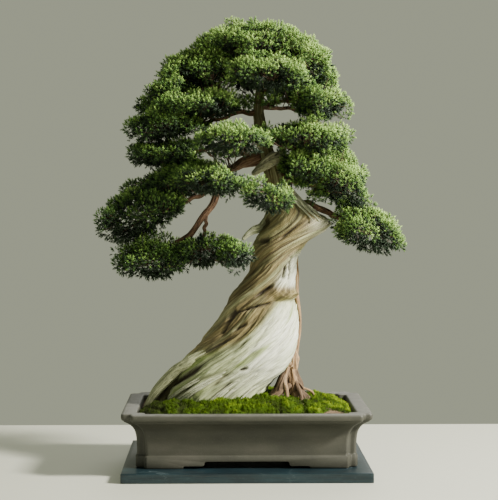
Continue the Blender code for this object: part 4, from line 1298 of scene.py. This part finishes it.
def dressSprigs(name, sprig, growth, twigs, finishes, chance, nodes=()):
    # sprigs and twigs as one piece: tint runs across the map, and height in the sprig upwards
    places, ways, sizes, tints = growth
    points, faces = placeSprigs(sprig, places, ways, sizes, chance)
    twigPoints, twigFaces = twigMesh(twigs)
    count = len(points)
    piece = meshPiece(name, np.vstack([points, twigPoints]), np.vstack([faces, twigFaces + count]), finishes)
    which = np.zeros(len(faces) + len(twigFaces), np.int32)
    which[len(faces):] = 1
    piece.data.polygons.foreach_set("material_index", which)
    each = len(sprig[0])
    rise = sprig[0][:, 2] / sprig[0][:, 2].max()
    across = np.repeat(tints, each) + np.tile(np.linspace(-0.008, 0.008, each), len(tints))
    upward = np.tile(np.clip(rise, 0.01, 0.99), len(tints))
    across = np.concatenate([across, np.linspace(0.0, 0.02, len(twigPoints))])
    upward = np.concatenate([upward, np.tile(np.linspace(0.0, 0.02, 12), len(twigPoints) // 12)])
    corners = np.vstack([faces, twigFaces + count]).ravel()
    keepMap(piece, across[corners], upward[corners])
    hand(piece, nodes)
    return len(faces) + len(twigFaces)


def openSky(spot):
    # the places where the crown stays open, and a little round them
    room = 0.008
    return any(
        ((spot[0] - x) / (wide + room)) ** 2 + ((spot[2] - z) / (high + room)) ** 2 < 1
        for x, z, wide, high in skyGaps
    )


def makeTufts(sprig, finishes):
    # loose tufts in the narrow gaps between neighbouring pads
    chance = np.random.default_rng(900)
    owners = np.concatenate([np.full(len(spots), k) for k, (spots, _) in enumerate(padSpots)])
    spots = np.vstack([spots for spots, _ in padSpots])
    normals = np.vstack([normals for _, normals in padSpots])
    tufts = []
    for k in chance.permutation(len(spots)):
        gaps = np.linalg.norm(spots - spots[k], axis=1)
        near = np.nonzero((owners != owners[k]) & (gaps > 0.014) & (gaps < tuft["gap"]))[0]
        facing = [j for j in near if (spots[j] - spots[k]) @ normals[k] > 0.3 * gaps[j]]
        if not facing:
            continue
        other = spots[facing[chance.integers(len(facing))]]
        spot = spots[k] + (other - spots[k]) * chance.uniform(0.25, 0.75)
        if openSky(spot) or spot[1] > 0.10:
            continue
        tufts.append(spot)
    tufts = np.array(tufts)
    tufts = tufts[thinned(tufts, tuft["spacing"])][: tuft["most"]]
    grown = []
    for x, y, z, size in spurs:
        ball = unit(chance.normal(size=(60, 3))) * size * chance.random((60, 1)) ** 0.33 * (1, 0.8, 0.62)
        grown.extend(ball[thinned(ball, 0.0105)] + (x, y, z))
    print("tufts", len(tufts), "on spurs", len(grown))
    return growTufts("foliageTufts", tufts, sprig, finishes, chance) + growTufts(
        "foliageSpurs", np.array(grown), sprig, finishes, chance
    )


def growTufts(name, tufts, sprig, finishes, chance):
    # a small ball of sprigs at each place, on a twig from the nearest wood
    places, ways, sizes, tints, twigs = [], [], [], [], []
    for spot in tufts:
        count = tuft["sprigs"]
        rays = unit(chance.normal(size=(count, 3)) + (0, -0.25, 0.35))
        places.append(spot + rays * tuft["size"] * chance.uniform(0.35, 1.0, (count, 1)) * (1, 1, 0.8))
        ways.append(unit(rays + (0, 0, 0.35) + chance.normal(0, 0.25, rays.shape)))
        sizes.append(chance.uniform(0.7, 1.15, count))
        # painted light: tufts are lighter on the sunny side and where their sprigs face up
        tints.append(0.52 + paintedSunTint(spot) + 0.20 * rays[:, 2] + chance.normal(0, 0.14, count))
        root = woodNear(spot)
        if np.linalg.norm(root - spot) < 0.12:
            twigs.append((root, spot, 0.0013, 0.0006))
    places, ways, sizes = np.vstack(places), np.vstack(ways), np.concatenate(sizes)
    tints = np.clip(np.concatenate(tints), 0.03, 0.97)
    return dressSprigs(name, sprig, (places, ways, sizes, tints), twigs, finishes, chance)


def twigFinish():
    made, tree, shader = shaderOf("twigBark", 0.85)
    grain = noiseOn(tree, objectPlace(tree), 120.0, 3.0)
    colour = rampOn(tree, grain, [(0.35, (0.040, 0.022, 0.013)), (0.65, (0.13, 0.075, 0.042))])
    tree.links.new(colour, shader.inputs["Base Color"])
    return made


def makeFoliage():
    sprig = makeSprig()
    finishes = [mapFinish("juniperFoliage", 0.56, foliage["stops"], foliage["tips"])[0], twigFinish()]
    pads = [makePad(node, k, sprig, finishes) for k, node in enumerate(nodesNamed("foliage_pad_"))]
    print("foliage triangles:", sum(pads) + makeTufts(sprig, finishes))


woodPoints = {}
for nodeName in [*nodesNamed("branch_"), "live_vein"]:
    woodPoints[nodeName] = surfacePoints(nodeName, 900, stemChance)[0]
woodPoints["live_vein"] = woodPoints["live_vein"][woodPoints["live_vein"][:, 2] > 0.56]
makeFoliage()
print("foliage made")


# moss and soil

moss = {
    "pitch": 0.0019,
    "lumps": 0.0082,
    "nubs": 0.0040,
    "spread": 0.0090,
    "blades": 0.0021,
    "bladeHeight": 0.0050,
    "bladeWidth": 0.0008,
    "stops": [(0.0, (0.010, 0.011, 0.003)), (0.35, (0.026, 0.043, 0.003)), (0.65, (0.042, 0.086, 0.002)),
              (1.0, (0.190, 0.275, 0.010))],
    "tips": [(0.0, (0.55, 0.52, 0.50)), (1.0, (1.25, 1.25, 0.9))],
}


def treeOf(node):
    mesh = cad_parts[node].data
    mesh.calc_loop_triangles()
    triangles = [tuple(t.vertices) for t in mesh.loop_triangles]
    return BVHTree.FromPolygons([v.co for v in mesh.vertices], triangles)


def mossTint(x, y):
    # brighter in the middle, dull at the left, patchy and yellower at the right
    patch = noise.noise(Vector((x * 22, y * 22, 4.0)))
    fine = noise.noise(Vector((x * 95, y * 95, 1.0)))
    right = max(0, min((x - 0.09) / 0.08, 1))
    left = max(0, min((-0.10 - x) / 0.07, 1))
    return 0.52 + (0.22 + 0.22 * right) * patch + (0.16 + 0.24 * right) * fine + 0.06 * right - 0.34 * left


def mossHeight(x, y):
    # rounded cushions with sharp creases between them
    hill = groove(x * 30, y * 36, 0.0)
    nub = groove(x * 105, y * 105, 2.0)
    return moss["lumps"] * (hill - 0.62) + moss["nubs"] * (nub - 0.6)


def makeMoss(node, number, finish, ground, trunk):
    chance = np.random.default_rng(300 + number)
    shape = treeOf(node)
    low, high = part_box(node)
    earthLow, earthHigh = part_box("soil")
    spread = Vector((moss["spread"], moss["spread"], 0))
    low = Vector(map(max, low - spread, earthLow + Vector((0.0015, 0.0015, 0))))
    high = Vector(map(min, high + spread, earthHigh + Vector((-0.0015, -0.0015, 1))))
    columns = int((high.x - low.x) / moss["pitch"])
    rows = int((high.y - low.y) / moss["pitch"])
    tops = np.full((rows + 1, columns + 1), np.nan)
    xs = np.linspace(low.x + 1e-4, high.x - 1e-4, columns + 1)
    ys = np.linspace(low.y + 1e-4, high.y - 1e-4, rows + 1)
    for j, y in enumerate(ys):
        for i, x in enumerate(xs):
            above = Vector((x, y, high.z + 0.05))
            hit = shape.ray_cast(above, downwards)[0]
            if hit:
                tops[j, i] = hit.z
                continue
            # the moss creeps out over the bare soil round its cushion
            earth = ground.ray_cast(above, downwards)[0]
            if earth and not trunk.ray_cast(above, downwards)[0]:
                near, _, _, gap = shape.find_nearest(earth)
                if gap < moss["spread"]:
                    tops[j, i] = earth.z + 0.0035 + 0.0040 * (1 - gap / moss["spread"])
    filled = ~np.isnan(tops)
    padded = np.pad(filled, 1)
    edge = filled & ~(padded[:-2, 1:-1] & padded[2:, 1:-1] & padded[1:-1, :-2] & padded[1:-1, 2:])
    index = np.full(filled.shape, -1)
    index[filled] = np.arange(filled.sum())
    points, tints = [], []
    for j, i in zip(*np.nonzero(filled)):
        x, y = xs[i], ys[j]
        bump = mossHeight(x, y)
        thin = 0.006 * max(0, min((x - 0.115) / 0.06, 1))  # thinner towards the right
        points.append((x, y, tops[j, i] + bump - (0.0075 if edge[j, i] else 0) - thin))
        # painted shade: the tint follows the bump, darker in the creases between cushions and lighter on the crests
        tints.append(mossTint(x, y) + 48 * bump)
    whole = filled[:-1, :-1] & filled[1:, :-1] & filled[:-1, 1:] & filled[1:, 1:]
    a, b = index[:-1, :-1][whole], index[:-1, 1:][whole]
    c, d = index[1:, 1:][whole], index[1:, :-1][whole]
    faces = np.vstack([np.stack([a, b, c], 1), np.stack([a, c, d], 1)])
    points, tints = np.array(points), np.array(tints)
    # blades: small three-sided points all over
    area = filled.sum() * (xs[1] - xs[0]) * (ys[1] - ys[0])
    count = int(area / moss["blades"] ** 2)
    inner = np.nonzero(~edge[filled])[0]
    pick = chance.choice(inner, count)
    foot = points[pick] + chance.uniform(-0.5, 0.5, (count, 3)) * (moss["pitch"], moss["pitch"], 0)
    foot = foot - (0, 0, 0.0008)
    lean = unit(chance.normal(0, 0.42, (count, 3)) + (0, 0, 1))
    tall = moss["bladeHeight"] * chance.uniform(0.6, 1.3, (count, 1))
    spin = chance.uniform(0, 6.28, count)
    blades = [foot + lean * tall]
    for k in range(3):
        angle = spin + 2 * math.pi * k / 3
        ring = np.stack([np.cos(angle), np.sin(angle), np.zeros(count)], 1)
        blades.append(foot + moss["bladeWidth"] * ring)
    bladePoints = np.stack(blades, 1).reshape(-1, 3)
    start = len(points) + 4 * np.arange(count)
    bladeFaces = np.vstack([np.stack([start, start + 1 + k, start + 1 + (k + 1) % 3], 1) for k in range(3)])
    bladeTints = np.repeat(tints[pick] + chance.normal(0.04, 0.10, count), 4)
    across = np.clip(np.concatenate([tints, bladeTints]), 0.02, 0.98)
    across += np.tile(np.linspace(-0.006, 0.006, 7), len(across) // 7 + 1)[: len(across)]
    upward = np.concatenate([np.tile((0.30, 0.42, 0.36, 0.48, 0.33), len(points))[: len(points)],
                             np.tile((0.99, 0.10, 0.14, 0.06), count)])
    corners = np.vstack([faces, bladeFaces])
    name = "moss" + capitals(node.split("_")[1:])
    piece = meshPiece(name, np.vstack([points, bladePoints]), corners, [finish])
    keepMap(piece, across[corners.ravel()], upward[corners.ravel()])
    hand(piece, [node])
    return len(corners)


def makeGranules(finish):
    # baked clay granules on the bare soil round the moss
    chance = np.random.default_rng(77)
    clearSelection()
    bpy.ops.mesh.primitive_ico_sphere_add(subdivisions=1, radius=1)
    ball = bpy.context.object
    points = np.array([v.co for v in ball.data.vertices])
    faces = np.array([p.vertices for p in ball.data.polygons])
    bpy.data.objects.remove(ball)
    ground = treeOf("soil")
    covers = [treeOf(node) for node in [*nodesNamed("moss_"), "trunk"]]
    low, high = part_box("soil")
    places = []
    for _ in range(9000):
        x, y = chance.uniform(low.x + 0.002, high.x - 0.002), chance.uniform(low.y + 0.002, high.y - 0.002)
        above = Vector((x, y, high.z + 0.1))
        if any(cover.ray_cast(above, downwards)[0] for cover in covers):
            continue
        hit = ground.ray_cast(above, downwards)[0]
        if hit and hit.z > low.z + 0.03:
            places.append(hit)
    places = np.array(places)
    places = places[thinned(places, 0.0031)]
    ways, sizes = unit(chance.normal(size=places.shape)), chance.uniform(0.6, 1.25, len(places))
    grains = placeSprigs((points * 0.0020, faces), places, ways, sizes, chance)
    hand(meshPiece("soilGranules", *grains, [finish]))
    print("granules:", len(places))


def soilFinish():
    made, tree, shader = shaderOf("soil", 0.93)
    place = objectPlace(tree)
    grains = noiseOn(tree, place, 190.0, 4.0)
    stops = [(0.32, (0.040, 0.025, 0.014)), (0.52, (0.13, 0.080, 0.045)), (0.72, (0.27, 0.185, 0.115))]
    tree.links.new(rampOn(tree, grains, stops), shader.inputs["Base Color"])
    bumpOn(tree, shader, noiseOn(tree, place, 330.0, 5.0), 0.8, 0.0015)
    return made


def makeGround():
    green, shader = mapFinish("moss", 0.92, moss["stops"], moss["tips"])
    shader.inputs["Specular IOR Level"].default_value = 0.15
    earth = soilFinish()
    ground, trunk = treeOf("soil"), treeOf("trunk")
    beds = [makeMoss(node, k, green, ground, trunk) for k, node in enumerate(nodesNamed("moss_"))]
    print("moss triangles:", sum(beds))
    makeGranules(earth)
    for node in ("soil", "root_ball", "drainage_grit"):
        refinish(node, earth)


def plainFinish(name, colour, roughness, metallic, scale):
    made, tree, shader = shaderOf(name, roughness)
    shader.inputs["Metallic"].default_value = metallic
    grain = noiseOn(tree, objectPlace(tree), scale, 4.0)
    darker = tuple(0.6 * x for x in colour)
    tree.links.new(rampOn(tree, grain, [(0.35, darker), (0.65, colour)]), shader.inputs["Base Color"])
    return made


def dressHidden():
    # the drainage screens and their clips stay as the CAD made them
    looks = {
        "drainage_screen": plainFinish("screenPlastic", (0.030, 0.030, 0.033), 0.48, 0.0, 240.0),
        "screen_clip": plainFinish("clipWire", (0.42, 0.40, 0.37), 0.36, 0.9, 300.0),
    }
    for start, look in looks.items():
        for node in nodesNamed(start):
            refinish(node, look)


makeGround()
dressHidden()
print("moss, soil and drainage made")
